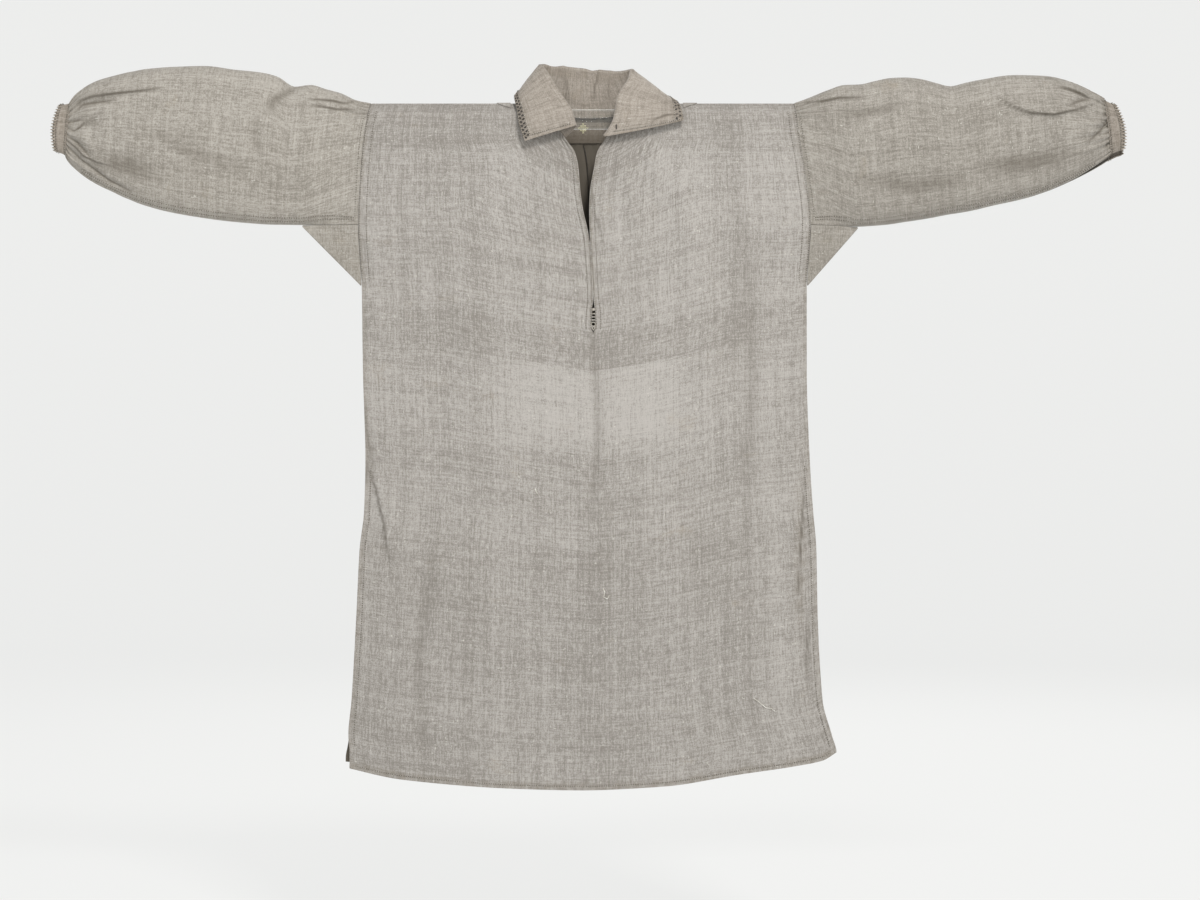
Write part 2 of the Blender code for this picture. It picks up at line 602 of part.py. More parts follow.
def sleeve_base(side):
    """Smooth base grid of a sleeve, rows along the arm and columns from front underarm to back."""
    table = SLEEVE_LEFT if side == "left" else SLEEVE_RIGHT
    cuff_rows = CUFF_LEFT if side == "left" else CUFF_RIGHT
    gusset_share = GUSSET_SHARE_LEFT if side == "left" else GUSSET_SHARE_RIGHT
    cuff_gap = CUFF_GAP_LEFT if side == "left" else CUFF_GAP_RIGHT
    back_drop = 0.0 if side == "left" else CUFF_BACK_DROP_RIGHT
    outward = -1.0 if side == "left" else 1.0
    armhole_share, cuff_share = sleeve_columns()
    share = np.array(stations(side))[:, None]

    armhole = armhole_loop(side, armhole_share)
    armhole[:, 0] += outward * SEAM
    cuff = cuff_loop(cuff_rows, cuff_share, 0.0, cuff_gap, back_drop)
    cuff[:, 0] -= outward * SEAM

    top = smooth(table, "top", share)
    bottom = smooth(table, "bottom", share)
    depth = smooth(table, "depth", share)
    armhole_rise = (armhole[:, 2] - GUSSET_TOP) / (RIDGE - GUSSET_TOP)
    turn = np.pi * (2 * cuff_share - 0.5)
    round_rise = (1 + np.sin(turn)) / 2
    facing = np.where(np.arange(len(cuff_share)) < len(cuff_share) // 2, -1.0, 1.0)
    half_gap = SEAM / 2
    round_depth = half_gap + (depth - half_gap) * np.abs(np.cos(turn)) ** 0.85

    # The armhole's section gives way to the round one over the gusset's length
    give_way = np.clip(share / gusset_share, 0, 1)
    rise = mix(armhole_rise, round_rise, give_way)
    y = mix(armhole[:, 1], facing * round_depth, give_way)
    z = mix(bottom, top, rise)
    x = mix(armhole[:, 0], cuff[:, 0], share)
    base = stack(x, y, z)

    # The last stretch turns into the cuff's own loop
    to_cuff = ease(TO_CUFF, 1.0, share)[..., None]
    base = base + (cuff - base) * to_cuff
    base[-1] = cuff
    base[0] = armhole
    return base


def sleeve_lift(side):
    """Gathers of a sleeve: every other column stands up, at the armhole's top and at the cuff."""
    share = np.array(stations(side))[:, None]
    columns = 2 * SLEEVE_SIDE_COLUMNS + 2 * ARMHOLE_GATHERS + 1
    number = np.arange(columns)
    zigzag = (number % 2).astype(float)
    middle = (columns - 1) / 2
    at_top = 1 - ease(ARMHOLE_GATHERS - 2, ARMHOLE_GATHERS + 1, np.abs(number - middle))
    ends = ease(0, 2, np.minimum(number, columns - 1 - number))
    armhole = at_top * (1 - ease(0.02, 0.17, share))
    cuff = ends * ease(0.84, 0.99, share)
    return GATHER_HEIGHT * zigzag * (armhole + cuff)


def build_sleeve(side, linen):
    base = sleeve_base(side)
    lift = sleeve_lift(side)
    if side == "left":
        base, lift = base[:, ::-1], lift[:, ::-1]
    return add_wall(f"sleeve_{side}", [base], linen, lifts=[lift], level_ends=True)


def build_cuff(side, linen):
    rows = CUFF_LEFT if side == "left" else CUFF_RIGHT
    gap = CUFF_GAP_LEFT if side == "left" else CUFF_GAP_RIGHT
    back_drop = 0.0 if side == "left" else CUFF_BACK_DROP_RIGHT
    share = np.linspace(0, 1, CUFF_COLUMNS + 1)
    base = np.stack([cuff_loop(rows, share, along, gap, back_drop) for along in (0.0, 0.5, 1.0)])
    if side == "left":
        base = base[:, ::-1]
    return add_wall(f"cuff_{side}", [base], linen, lifts=[np.full(base.shape[:2], 0.5)], level_ends=True)


def underarm_edges(side, count):
    """The sleeve's lower edge and the body's edge that one half of a gusset is sewn to."""
    base = sleeve_base(side)
    gusset_share = GUSSET_SHARE_LEFT if side == "left" else GUSSET_SHARE_RIGHT
    share = np.array(stations(side))
    steps = np.linspace(0, 1, count + 1)
    at = gusset_share * (1 - steps)
    sleeve_edge = np.stack([np.interp(at, share, base[:, 0, axis]) for axis in range(3)], axis=-1)
    z = mix(GUSSET_TOP, GUSSET_FOOT, steps)
    body_edge = body(smooth(SIDES, side, z), -run_at(z), -1)
    return sleeve_edge, body_edge


def build_gusset(side, linen):
    """A square folded on its diagonal: A on the sleeve seam, B at the armhole, C on the side seam.

    Rows run from A to the edge that is sewn to the body. Columns run from the front edge that is sewn to
    the sleeve, to the fold, and on to the same edge behind.
    """
    count = 6
    outward = -1.0 if side == "left" else 1.0
    sleeve_edge, body_edge = underarm_edges(side, count)
    sleeve_edge = sleeve_edge + np.array((0, 0, -2 * SEAM))
    sleeve_edge[:, 1] = np.minimum(sleeve_edge[:, 1], -CLOTH - SEAM / 2)
    body_edge = body_edge + np.array((outward * 2 * SEAM, 0, 0))
    corner = sleeve_edge[-1] * (0, 0, 1) + body_edge[0] * (1, 1, 0)
    a_point, c_point = sleeve_edge[0], body_edge[-1]
    steps = np.linspace(0, 1, count + 1)
    sleeve_bow = sleeve_edge - mix(a_point, corner, steps[:, None])
    body_bow = body_edge - mix(corner, c_point, steps[:, None])
    sleeve_bow[-1] = 0
    body_bow[0] = 0

    across = np.linspace(-1, 1, 2 * count + 1)
    off_fold = np.abs(across)[None, :, None]
    high = steps[:, None, None]
    low = high * (1 - off_fold)
    body_bow = np.stack([np.interp(low[..., 0], steps, body_bow[:, axis]) for axis in range(3)], axis=-1)
    outer = (1 - high) * a_point + high * off_fold * corner + low * c_point
    outer = outer + sleeve_bow[:, None] * off_fold + body_bow * high * off_fold / np.maximum(1 - low, 0.01)
    half = np.abs(outer[..., 1])
    facing = np.sign(np.round(across, 6))
    inner = outer.copy()
    outer[..., 1] = facing * half
    inner[..., 1] = facing * np.maximum(half - CLOTH, SEAM / 2)
    fold_out = np.array((outward, 0, -1.0)) / math.sqrt(2)
    outer[:, count] += fold_out * CLOTH
    if side == "left":
        outer, inner = outer[:, ::-1], inner[:, ::-1]
    return add_wall(f"gusset_{side}", [outer], linen, inner=[inner])


def build_neck_gusset(side, linen):
    """A small triangle laid over the shoulder ridge, from its point out on the shoulder to the collar."""
    outward = -1.0 if side == "left" else 1.0
    start = NECK_GUSSET_START_LEFT if side == "left" else NECK_GUSSET_START_RIGHT
    along = np.linspace(0, 1, 5)
    across = np.linspace(-1, 1, 9)
    x = start + outward * NECK_GUSSET_LENGTH * along[:, None]
    run = across * NECK_GUSSET_HALF_WIDTH * mix(1, NECK_GUSSET_POINT, along[:, None])
    base = body(np.broadcast_to(x, run.shape), np.where(run == 0, 1e-9, run), 1)
    order = slice(None, None, -1) if side == "left" else slice(None)
    lift = np.full(run.shape, SEAM + NECK_GUSSET_CLOTH)
    return add_wall(f"neck_gusset_{side}", [base[:, order]], linen, thickness=NECK_GUSSET_CLOTH, lifts=[lift])


def collar_paths():
    """Middle of the collar's cloth: places along the neck, steps from the seam over the fold to the edge."""
    place = np.linspace(0, 1, COLLAR_STATIONS + 1)
    neck_x, neck_run = neck_edge(place)
    foot = body(neck_x, np.where(neck_run == 0, 1e-9, neck_run), 1)
    inward = -foot[:, :2] * (0.5, 1)
    inward = inward / np.linalg.norm(inward, axis=1, keepdims=True)
    half = COLLAR_CLOTH / 2
    foot[:, :2] += inward * (half + SEAM)
    foot[:, 2] += SEAM + GATHER_HEIGHT * 0.3
    fold = np.stack([smooth(COLLAR, f"fold_{axis}", place) for axis in "xyz"], axis=-1)
    edge = np.stack([smooth(COLLAR, f"edge_{axis}", place) for axis in "xyz"], axis=-1)
    tangent = np.gradient(fold, axis=0)
    down = foot - fold
    out = np.cross(tangent, down)
    out = out / np.linalg.norm(out, axis=1, keepdims=True)
    down = down / np.linalg.norm(down, axis=1, keepdims=True)
    fall = edge - fold
    fall = fall / np.linalg.norm(fall, axis=1, keepdims=True)
    stand_top = fold + down * FOLD_DROP - out * FOLD_HALF_GAP
    fall_top = fold + fall * FOLD_DROP + out * FOLD_HALF_GAP
    steps = [mix(foot, stand_top, 0.0), mix(foot, stand_top, 0.35), mix(foot, stand_top, 0.7), stand_top]
    steps += [fold, fall_top]
    steps += [mix(fall_top, edge, share) + out * 2.0 * math.sin(math.pi * share) for share in (0.3, 0.6, 0.85)]
    steps += [edge]
    return np.stack(steps, axis=1)


def build_collar(linen):
    middle = collar_paths()
    lift = np.full(middle.shape[:2], COLLAR_CLOTH / 2)
    return add_wall("collar", [middle], linen, thickness=COLLAR_CLOTH, lifts=[lift])


def build_neck_lining(linen):
    """A strip inside the back, from the neck seam down past the rod."""
    x = np.linspace(-LINING_HALF_WIDTH, LINING_HALF_WIDTH, 13)
    z = np.linspace(LINING_TOP, LINING_FOOT, 5)[:, None]
    face = body(np.broadcast_to(x, (5, 13)), np.broadcast_to(run_at(z), (5, 13)), 1)
    face[..., 1] -= CLOTH + SEAM
    return add_wall("neck_lining", [face[:, ::-1]], linen, thickness=LINING_CLOTH)


def build_slit_lace(linen):
    """Needle lace across the foot of the slit, a ladder with its largest gap cut through."""
    centre = (SLIT[1].left + SLIT[1].right) / 2
    across = np.array((-LACE_HALF_WIDTH, -LACE_HOLE_HALF_WIDTH, LACE_HOLE_HALF_WIDTH, LACE_HALF_WIDTH))
    z = np.array((LACE_TOP - 2, -322.0, -326.5, -332.0, -334.5))
    x = np.broadcast_to(centre + across, (len(z), len(across)))
    face = body(x, np.broadcast_to(-run_at(z[:, None]), x.shape), -1)
    face[..., 1] += 0.15
    strips = [face[:3], face[2:4, :2], face[2:4, 2:], face[3:]]
    return add_wall("slit_lace", strips, linen, thickness=LACE_CLOTH)


def build_rod(acrylic):
    turn = np.arange(ROD_SIDES) * 2 * np.pi / ROD_SIDES
    ring = stack(0 * turn, ROD_RADIUS * np.cos(turn), ROD_RADIUS * np.sin(turn))
    left = ring - (ROD_HALF_LENGTH, 0, 0)
    right = ring + (ROD_HALF_LENGTH, 0, 0)
    around = [
        (i, i + ROD_SIDES, (i + 1) % ROD_SIDES + ROD_SIDES, (i + 1) % ROD_SIDES) for i in range(ROD_SIDES)
    ]
    ends = [tuple(range(ROD_SIDES)), tuple(reversed(range(ROD_SIDES, 2 * ROD_SIDES)))]
    around = [tuple(reversed(face)) for face in around]
    ends = [tuple(reversed(face)) for face in ends]
    return add_solid("rod", np.concatenate((left, right)), around + ends, acrylic)


def main():
    for old in list(bpy.data.objects):
        bpy.data.objects.remove(old, do_unlink=True)
    linen = cloth_material("body_linen", (0.42, 0.40, 0.36))
    sleeve_linen = cloth_material("sleeve_linen", (0.40, 0.37, 0.32))
    collar_linen = cloth_material("collar_linen", (0.42, 0.38, 0.32))
    thread = cloth_material("thread", (0.48, 0.45, 0.38))
    acrylic = cloth_material("clear_acrylic", (0.85, 0.88, 0.88), roughness=0.08)
    build_front(linen)
    build_back(linen)
    build_collar(collar_linen)
    build_neck_lining(collar_linen)
    build_slit_lace(thread)
    for side in ("left", "right"):
        build_sleeve(side, sleeve_linen)
        build_gusset(side, sleeve_linen)
        build_cuff(side, collar_linen)
        build_neck_gusset(side, linen)
    build_rod(acrylic)


main()
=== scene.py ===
"""Looks of a hand-sewn linen shirt that hangs flat, with its arms out, on a clear rod.

Laid out as an add-on and run as a script. Lengths in the tables are millimetres in the frame of the
model: +X to the viewer's right, the front faces -Y, +Z is up, and the origin is the middle of the rod.
"""

import math
from collections import namedtuple

import bmesh
import bpy
import numpy as np
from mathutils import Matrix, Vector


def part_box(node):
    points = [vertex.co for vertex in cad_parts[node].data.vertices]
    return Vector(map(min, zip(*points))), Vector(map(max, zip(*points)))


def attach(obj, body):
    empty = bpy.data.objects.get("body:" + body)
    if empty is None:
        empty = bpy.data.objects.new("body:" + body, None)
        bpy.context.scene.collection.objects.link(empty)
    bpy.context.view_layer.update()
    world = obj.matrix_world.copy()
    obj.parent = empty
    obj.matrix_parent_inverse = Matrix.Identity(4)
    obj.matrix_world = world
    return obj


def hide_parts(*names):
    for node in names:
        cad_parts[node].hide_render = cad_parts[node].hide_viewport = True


bl_info = {
    "name": "Linen Shirt on a Rod",
    "version": (1, 0, 0),
    "blender": (4, 5, 0),
    "location": "3D View > Sidebar > Shirt",
    "description": "Builds a gathered linen shirt, its sewing and its rod round a fixed frame",
    "category": "Object",
}

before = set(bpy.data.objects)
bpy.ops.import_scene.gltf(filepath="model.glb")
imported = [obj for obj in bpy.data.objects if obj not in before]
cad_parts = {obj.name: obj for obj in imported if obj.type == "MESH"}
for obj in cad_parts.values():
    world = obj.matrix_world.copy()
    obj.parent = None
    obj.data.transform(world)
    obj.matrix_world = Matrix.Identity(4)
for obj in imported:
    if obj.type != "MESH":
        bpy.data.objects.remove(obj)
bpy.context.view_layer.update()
ROD_LOW, ROD_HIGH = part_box("rod")

MM = 0.001
SEAM = 0.3
ROD_RADIUS = (ROD_HIGH[2] - ROD_LOW[2]) / 2 / MM
ROD_HALF_LENGTH = ROD_HIGH[0] / MM
CLOTH_IN_CAD = 1.5
FACET_ALLOWANCE = 0.5
RIDGE = 25.6
SHOULDER_SEAM = 4.85
SLIT_FOOT = -342.0
GUSSET_TOP = -169.0
GUSSET_FOOT = -265.0
VENT_TOP = -550.0

BEARING = ROD_RADIUS + SEAM + FACET_ALLOWANCE + CLOTH_IN_CAD
LEAN = math.asin(BEARING / RIDGE)
SLOPE = BEARING / math.tan(LEAN)
RUN_TO_MIDDLE = SLOPE + BEARING * LEAN


def table(columns, *rows):
    """Rows with named columns."""
    row = namedtuple("Row", columns)
    return tuple(row(*values) for values in rows)


SIDES = table(
    "z left right",
    (-1080, -381, 397),
    (-1012, -381, 397),
    (-985, -383, 390),
    (-929, -378, 375),
    (-788, -370, 367),
    (-687, -365, 365),
    (-627, -358, 360),
    (-550, -356, 355),
    (-400, -360, 350),
    (-265, -362, 350),
    (-169, -366, 355),
    (-86, -362, 346),
    (-31, -357, 337),
    (26, -347, 329),
)

# How far the back's free edges stand out beyond the front's, below the vents
BACK_REACH = table(
    "z left right",
    (-1080, 8.5, 0),
    (-1020, 7, 0),
    (-985, 0, 0),
    (-550, 0, 0),
)

DEPTHS = table(
    "z middle edge",
    (-1080, 17.5, 4.5),
    (-850, 18.5, 4.0),
    (-620, 19.5, 3.0),
    (-550, 19.5, 1.65),
    (-265, 19.5, 1.65),
    (-169, 19.0, 13.5),
    (-100, 18.5, 17.0),
    (-40, BEARING, BEARING),
    (26, BEARING, BEARING),
)
LENS_POWER = 3.0

SLIT = table(
    "z left right",
    (-342, 8.6, 8.6),
    (-334, 5.2, 12.0),
    (-306, 6.2, 11.4),
    (-296, 7.4, 9.8),
    (-283, 8.0, 8.4),
    (-228, 5.1, 5.5),
    (-190, 1.6, 3.2),
    (-145, -8.0, 2.0),
    (-118, -12.0, 3.2),
    (-78, -15.5, 10.0),
    (-57, -20.0, 14.0),
    (-32, -36.0, 28.0),
)

HEM = table(
    "x front back",
    (-392, -1034, -1026),
    (-379, -1038, -1028),
    (-294, -1055, -1034),
    (-106, -1069, -1042),
    (-13, -1071, -1043),
    (120, -1065, -1040),
    (243, -1046, -1030),
    (334, -1033, -1022),
    (375, -1025, -1016),
    (397, -1012, -1010),
)

NECK = table(
    "place x run",
    (0.00, -36, -64),
    (0.08, -51, -46),
    (0.16, -69, -27),
    (0.24, -84, -4.85),
    (0.28, -83, 7),
    (0.36, -66, 22),
    (0.50, 0, 29.5),
    (0.64, 70, 22),
    (0.72, 88, 7),
    (0.76, 88, -4.85),
    (0.84, 72, -29),
    (0.92, 52, -50),
    (1.00, 28, -64),
)
NECK_RIDGE = {"left": 0.24, "right": 0.76}
NECK_END = {"left": 0.0, "right": 1.0}

COLLAR = table(
    "place fold_x fold_y fold_z edge_x edge_y edge_z",
    (0.00, -19, -31, -14, -100, -29, -38),
    (0.08, -25, -30, 8, -109, -27, -11),
    (0.16, -47, -21, 44, -113, -19, 13),
    (0.24, -70, -4, 82, -117, 0, 35),
    (0.28, -76, 8, 89, -113, 18, 42),
    (0.36, -52, 24, 86, -80, 33, 8),
    (0.50, -6, 28, 81, 0, 36, -6),
    (0.64, 44, 25, 78, 86, 33, 6),
    (0.72, 69, 10, 81, 130, 20, 33),
    (0.76, 65, -5, 66, 143, -5, 26.5),
    (0.84, 47, -22, 34, 149, -19, 13),
    (0.92, 42, -29, 0, 151, -25, 4),
    (1.00, 27, -31, -30, 152, -28, -5),
)
FOLD_HALF_GAP = 2.1
FOLD_DROP = 3.4

SLEEVES = {
    "left": table(
        "share top bottom depth",
        (0.00, 25.6, -169, BEARING),
        (0.05, 31, -169, 19),
        (0.10, 42, -169, 22),
        (0.15, 48.5, -168.8, 24),
        (0.20, 55, -168.8, 26),
        (0.254, 52.5, -168.5, 27),
        (0.31, 68, -168, 29),
        (0.36, 74.5, -166.5, 30),
        (0.455, 79.5, -162.5, 30.5),
        (0.555, 85.5, -156, 31),
        (0.655, 84, -147.5, 31),
        (0.75, 80.5, -135, 31),
        (0.80, 76, -125.5, 30),
        (0.84, 74, -119.5, 29),
        (0.88, 77, -118, 28),
        (0.92, 78, -115, 26),
        (1.00, 84, -118, 12),
    ),
    "right": table(
        "share top bottom depth",
        (0.00, 25.6, -169, BEARING),
        (0.05, 35, -169.5, 20),
        (0.11, 47, -170.5, 24),
        (0.16, 54.5, -171.5, 26),
        (0.215, 56, -170, 28),
        (0.263, 61.5, -168, 29),
        (0.31, 66, -164.5, 30),
        (0.36, 67, -161, 30),
        (0.41, 64.5, -157, 31),
        (0.457, 58.5, -152.5, 31),
        (0.505, 53, -149, 31),
        (0.554, 58.5, -144.5, 31),
        (0.60, 63, -139, 31),
        (0.72, 71, -126, 31),
        (0.83, 69, -108, 30),
        (0.91, 56, -92, 27),
        (0.96, 44, -78, 22),
        (1.00, 30, -56, 12),
    ),
}
GUSSET_SHARE = {"left": 0.195, "right": 0.16}

CUFFS = {
    "left": table(
        "corner x z",
        ("seam_top", -826, 25),
        ("seam_bottom", -834, -57),
        ("edge_top", -845, 22),
        ("edge_bottom", -853, -50),
    ),
    "right": table(
        "corner x z",
        ("seam_top", 824, 30),
        ("seam_bottom", 835, -56),
        ("edge_top", 843, 22),
        ("edge_bottom", 857, -47),
    ),
}
CUFF_DEPTH = 12.0
CUFF_BULGE = 6.0
CUFF_GAP = {"left": 2.0, "right": 3.5}
CUFF_BACK_DROP = {"left": 0.0, "right": 8.0}
OUTWARD = {"left": -1.0, "right": 1.0}

BIG_FOLDS = {
    -1: table(
        "x0 z0 x1 z1 width height",
        (131, -65, 192, -300, 26, 5.0),
        (192, -300, 196, -560, 30, 4.0),
        (-213, -340, -253, -540, 30, -4.0),
        (-352, -560, -316, -700, 24, 4.0),
        (-300, -675, -180, -755, 32, 3.5),
        (336, -590, 330, -780, 20, 4.5),
        (-60, -120, -95, -300, 26, 3.0),
    ),
    1: table(
        "x0 z0 x1 z1 width height",
        (-90, -70, -150, -420, 34, 5.0),
        (60, -80, 95, -520, 36, 4.5),
        (-10, -110, -20, -640, 30, -4.0),
        (-250, -380, -215, -800, 38, 4.0),
        (240, -330, 262, -860, 40, 4.5),
    ),
}
LINING_HALF_WIDTH = 62.0
LINING_TOP = -2.5
LINING_FOOT = -36.0
LINING_CLOTH = 1.1
NECK_GUSSET_CLOTH = 1.1
NECK_GUSSET = {"left": -124.0, "right": 152.0}
NECK_GUSSET_LENGTH = 22.0
NECK_GUSSET_HALF_WIDTH = 13.0

# Creases: the cloth laps or swells along a route of points. A lap is steep on its lower side
FRONT_CREASES = table(
    "kind height width route",
    ("lap", 1.6, 9, ((6, -97), (11, -152), (22, -182), (27, -204))),
    ("bell", 2.0, 9, ((50, -60), (66, -110), (72, -190))),
    ("bell", 1.8, 8, ((-52, -60), (-60, -110), (-58, -170))),
    ("bell", 1.5, 7, ((86, -48), (112, -92), (118, -150))),
    ("bell", 1.4, 7, ((-76, -44), (-96, -84), (-100, -130))),
    ("lap", 4.2, 9, ((-353, -549), (-338, -590), (-326, -640), (-316, -705))),
    ("bell", -1.8, 8, ((-366, -420), (-350, -520), (-338, -600))),
    ("bell", 1.6, 12, ((-372, -925), (-350, -912))),
    ("lap", 3.8, 9, ((345, -575), (338, -680), (334, -762))),
    ("bell", -2.4, 5, ((352, -800), (349, -860), (352, -920))),
    ("bell", 1.5, 14, ((352, -800), (350, -900), (358, -990))),
    ("bell", -1.4, 12, ((10, -345), (16, -500), (6, -640))),
    ("bell", 1.2, 16, ((-180, -120), (-200, -330), (-196, -520))),
    ("bell", -1.2, 18, ((250, -160), (262, -420), (255, -640))),
    ("bell", 1.3, 20, ((-110, -560), (-60, -760), (-70, -960))),
    ("bell", 1.2, 22, ((120, -620), (150, -820), (146, -1010))),
    ("bell", -1.3, 16, ((-250, -700), (-270, -860), (-262, -1010))),
)
BACK_CREASES = table(
    "kind height width route",
    ("lap", 3.0, 4, ((-8, -33), (-5, -60), (-1, -92), (2, -130))),
    ("bell", 2.0, 9, ((-40, -30), (-52, -110), (-50, -220))),
    ("bell", 1.8, 10, ((38, -30), (50, -120), (46, -240))),
    ("lap", 2.0, 10, ((346, -560), (332, -650), (325, -730))),
    ("lap", 2.4, 10, ((-350, -556), (-334, -660), (-330, -780))),
    ("bell", 1.4, 18, ((-160, -180), (-176, -420), (-168, -640))),
    ("bell", -1.4, 18, ((150, -160), (162, -400), (170, -700))),
    ("bell", 1.3, 22, ((20, -560), (40, -780), (34, -980))),
    ("bell", -1.2, 16, ((-290, -600), (-280, -800), (-296, -980))),
    ("bell", 1.5, 14, ((286, -420), (300, -520), (290, -640))),
)
COLLAR_WING_CREASES = table(
    "kind height width route",
    ("lap", 2.0, 4, ((98, -14), (105, -3), (124, 4), (143, 6))),
    ("bell", -1.6, 2.6, ((100, -19), (118, -17), (138, -8))),
    ("bell", -1.4, 3, ((66, 70), (60, 62), (52, 44))),
    ("bell", 1.0, 8, ((-60, 30), (-84, 4))),
)
COLLAR_STAND_CREASES = table(
    "kind height width route",
    ("lap", 2.2, 4, ((16, 82), (13, 66), (9, 54), (8, 30))),
    ("bell", -1.8, 4, ((-40, 84), (-33, 60), (-30, 30))),
    ("bell", -1.6, 5, ((36, 80), (33, 50), (34, 24))),
    ("bell", 1.4, 8, ((-8, 70), (-12, 30))),
)
# Height of the collar's crown above its plain fold, by place along the neck
COLLAR_CROWN = table(
    "place rise",
    (0.0, 0.0),
    (0.28, 0.0),
    (0.315, 2.2),
    (0.34, 0.8),
    (0.40, 4.2),
    (0.50, 4.4),
    (0.535, 2.2),
    (0.56, 4.6),
    (0.62, 2.6),
    (0.70, 1.0),
    (0.76, 0.0),
    (1.0, 0.0),
)
SLEEVE_CREASES = {
    "left": table(
        "kind height width route",
        ("lap", 6.5, 13, ((-818, 19), (-806, 29), (-789, 34), (-750, 38), (-714, 42), (-676, 48))),
        ("bell", -3.0, 5, ((-818, 10), (-806, 22), (-786, 25), (-752, 28))),
        ("bell", -3.4, 4, ((-830, -28), (-814, -39), (-804, -50), (-795, -60), (-786, -69))),
        ("lap", 3.6, 7, ((-830, -34), (-813, -48), (-802, -60), (-786, -68), (-768, -74))),
        ("bell", -3.2, 4, ((-830, -46), (-818, -58), (-807, -68), (-765, -99), (-729, -117))),
        ("bell", -3.0, 3.5, ((-828, -17), (-820, -20), (-811, -15), (-804, -8), (-797, -11))),
        ("bell", -2.4, 3.5, ((-826, -6), (-818, -4), (-808, -2))),
        ("bell", 3.0, 7, ((-826, -24), (-806, -30), (-786, -50))),
        ("bell", -4.0, 11, ((-467, 50), (-497, 30), (-509, 10))),
        ("bell", -2.2, 13, ((-798, 0), (-786, -10))),
        ("bell", -2.6, 22, ((-790, -72), (-740, -76), (-690, -92))),
        ("lap", 3.4, 12, ((-446, 31), (-406, 27), (-389, 23), (-371, 28))),
        ("lap", 2.6, 9, ((-440, 22), (-400, 14), (-372, 14))),
        ("bell", -1.6, 12, ((-525, 4), (-527, -30), (-522, -60))),
        ("bell", 2.0, 24, ((-640, 20), (-560, 30), (-480, 24))),
        ("bell", -1.6, 20, ((-700, -20), (-620, -60), (-540, -84))),
        ("bell", 1.8, 16, ((-455, -60), (-440, -110), (-450, -150))),
    ),
    "right": table(
        "kind height width route",
        ("lap", 6.5, 12, ((651, 34), (674, 18), (702, 7), (739, 4), (776, 13), (802, 22))),
        ("lap", 5.4, 9, ((750, 50), (767, 45), (783, 38), (800, 32))),
        ("bell", -3.4, 5, ((764, 18), (779, 26), (800, 31))),
        ("bell", -3.2, 5, ((795, -40), (813, -24), (824, -12), (834, -1))),
        ("bell", -3.0, 4, ((818, -6), (826, -10), (833, -2))),
        ("bell", 2.4, 7, ((790, -14), (812, -8), (826, 6))),
        ("bell", -2.6, 5, ((826, -46), (832, -37))),
        ("bell", -2.2, 5, ((820, 2), (828, 9))),
        ("bell", -2.6, 26, ((760, -60), (700, -74), (640, -80))),
        ("lap", 3.0, 11, ((346, 26), (372, 27), (402, 33), (440, 34))),
        ("bell", -2.0, 12, ((400, 10), (440, 6), (500, 20))),
        ("bell", 2.2, 26, ((450, -20), (540, -30), (620, -10))),
        ("bell", -2.0, 22, ((430, -100), (520, -110), (600, -96))),
        ("bell", 1.6, 14, ((560, 40), (600, 20), (630, -10))),
    ),
}

# Tones of the woven bands, by share of the panel: along its length, and across it
WEFT_BANDS = table(
    "place tone",
    (0.0, 0.26),
    (0.070, 0.28),
    (0.076, 0.52),
    (0.298, 0.56),
    (0.303, 0.34),
    (0.356, 0.38),
    (0.362, 0.58),
    (0.47, 0.60),
    (0.50, 0.50),
    (0.64, 0.48),
    (0.65, 0.40),
    (0.80, 0.43),
    (1.0, 0.40),
)
WARP_BANDS = table(
    "place tone",
    (0.0, 0.50),
    (0.145, 0.50),
    (0.152, 0.40),
    (0.28, 0.40),
    (0.29, 0.62),
    (0.36, 0.58),
    (0.44, 0.46),
    (0.58, 0.46),
    (0.66, 0.62),
    (0.70, 0.64),
    (0.775, 0.62),
    (0.785, 0.40),
    (0.855, 0.42),
    (0.862, 0.64),
    (0.955, 0.62),
    (0.965, 0.50),
)


def length_value(name, text, default):
    return bpy.props.FloatProperty(name=name, description=text, default=default, subtype="DISTANCE")


def colour_value(name, text, default):
    return bpy.props.FloatVectorProperty(name=name, description=text, default=default, subtype="COLOR")


class ShirtSizes(bpy.types.PropertyGroup):
    """Lengths that change how the cloth is sewn and woven."""

    wall: length_value("Cloth", "Thickness of one layer of linen", 0.0011)
    gather: length_value("Gather", "Height of the gathers at their seams", 0.0022)
    hem: length_value("Hem", "Width of the narrow hem at the foot", 0.009)
    stitch: length_value("Stitch", "Length of one visible stitch", 0.0017)
    thread: length_value("Thread", "Thickness of the sewing thread", 0.0008)
    weave: length_value("Weave", "Distance between two threads of the weave", 0.00085)


class ShirtColours(bpy.types.PropertyGroup):
    """Colours of the cloth, in linear light."""

    body: colour_value("Body", "Mean colour of the panels", (0.351, 0.332, 0.310))
    sleeve: colour_value("Sleeves", "Mean colour of the sleeves", (0.345, 0.323, 0.290))
    collar: colour_value("Collar", "Mean colour of collar and cuffs", (0.328, 0.294, 0.257))
    thread: colour_value("Thread", "Sewing thread", (0.58, 0.55, 0.49))
    paper: colour_value("Ground", "Floor and surround", (0.16, 0.16, 0.158))


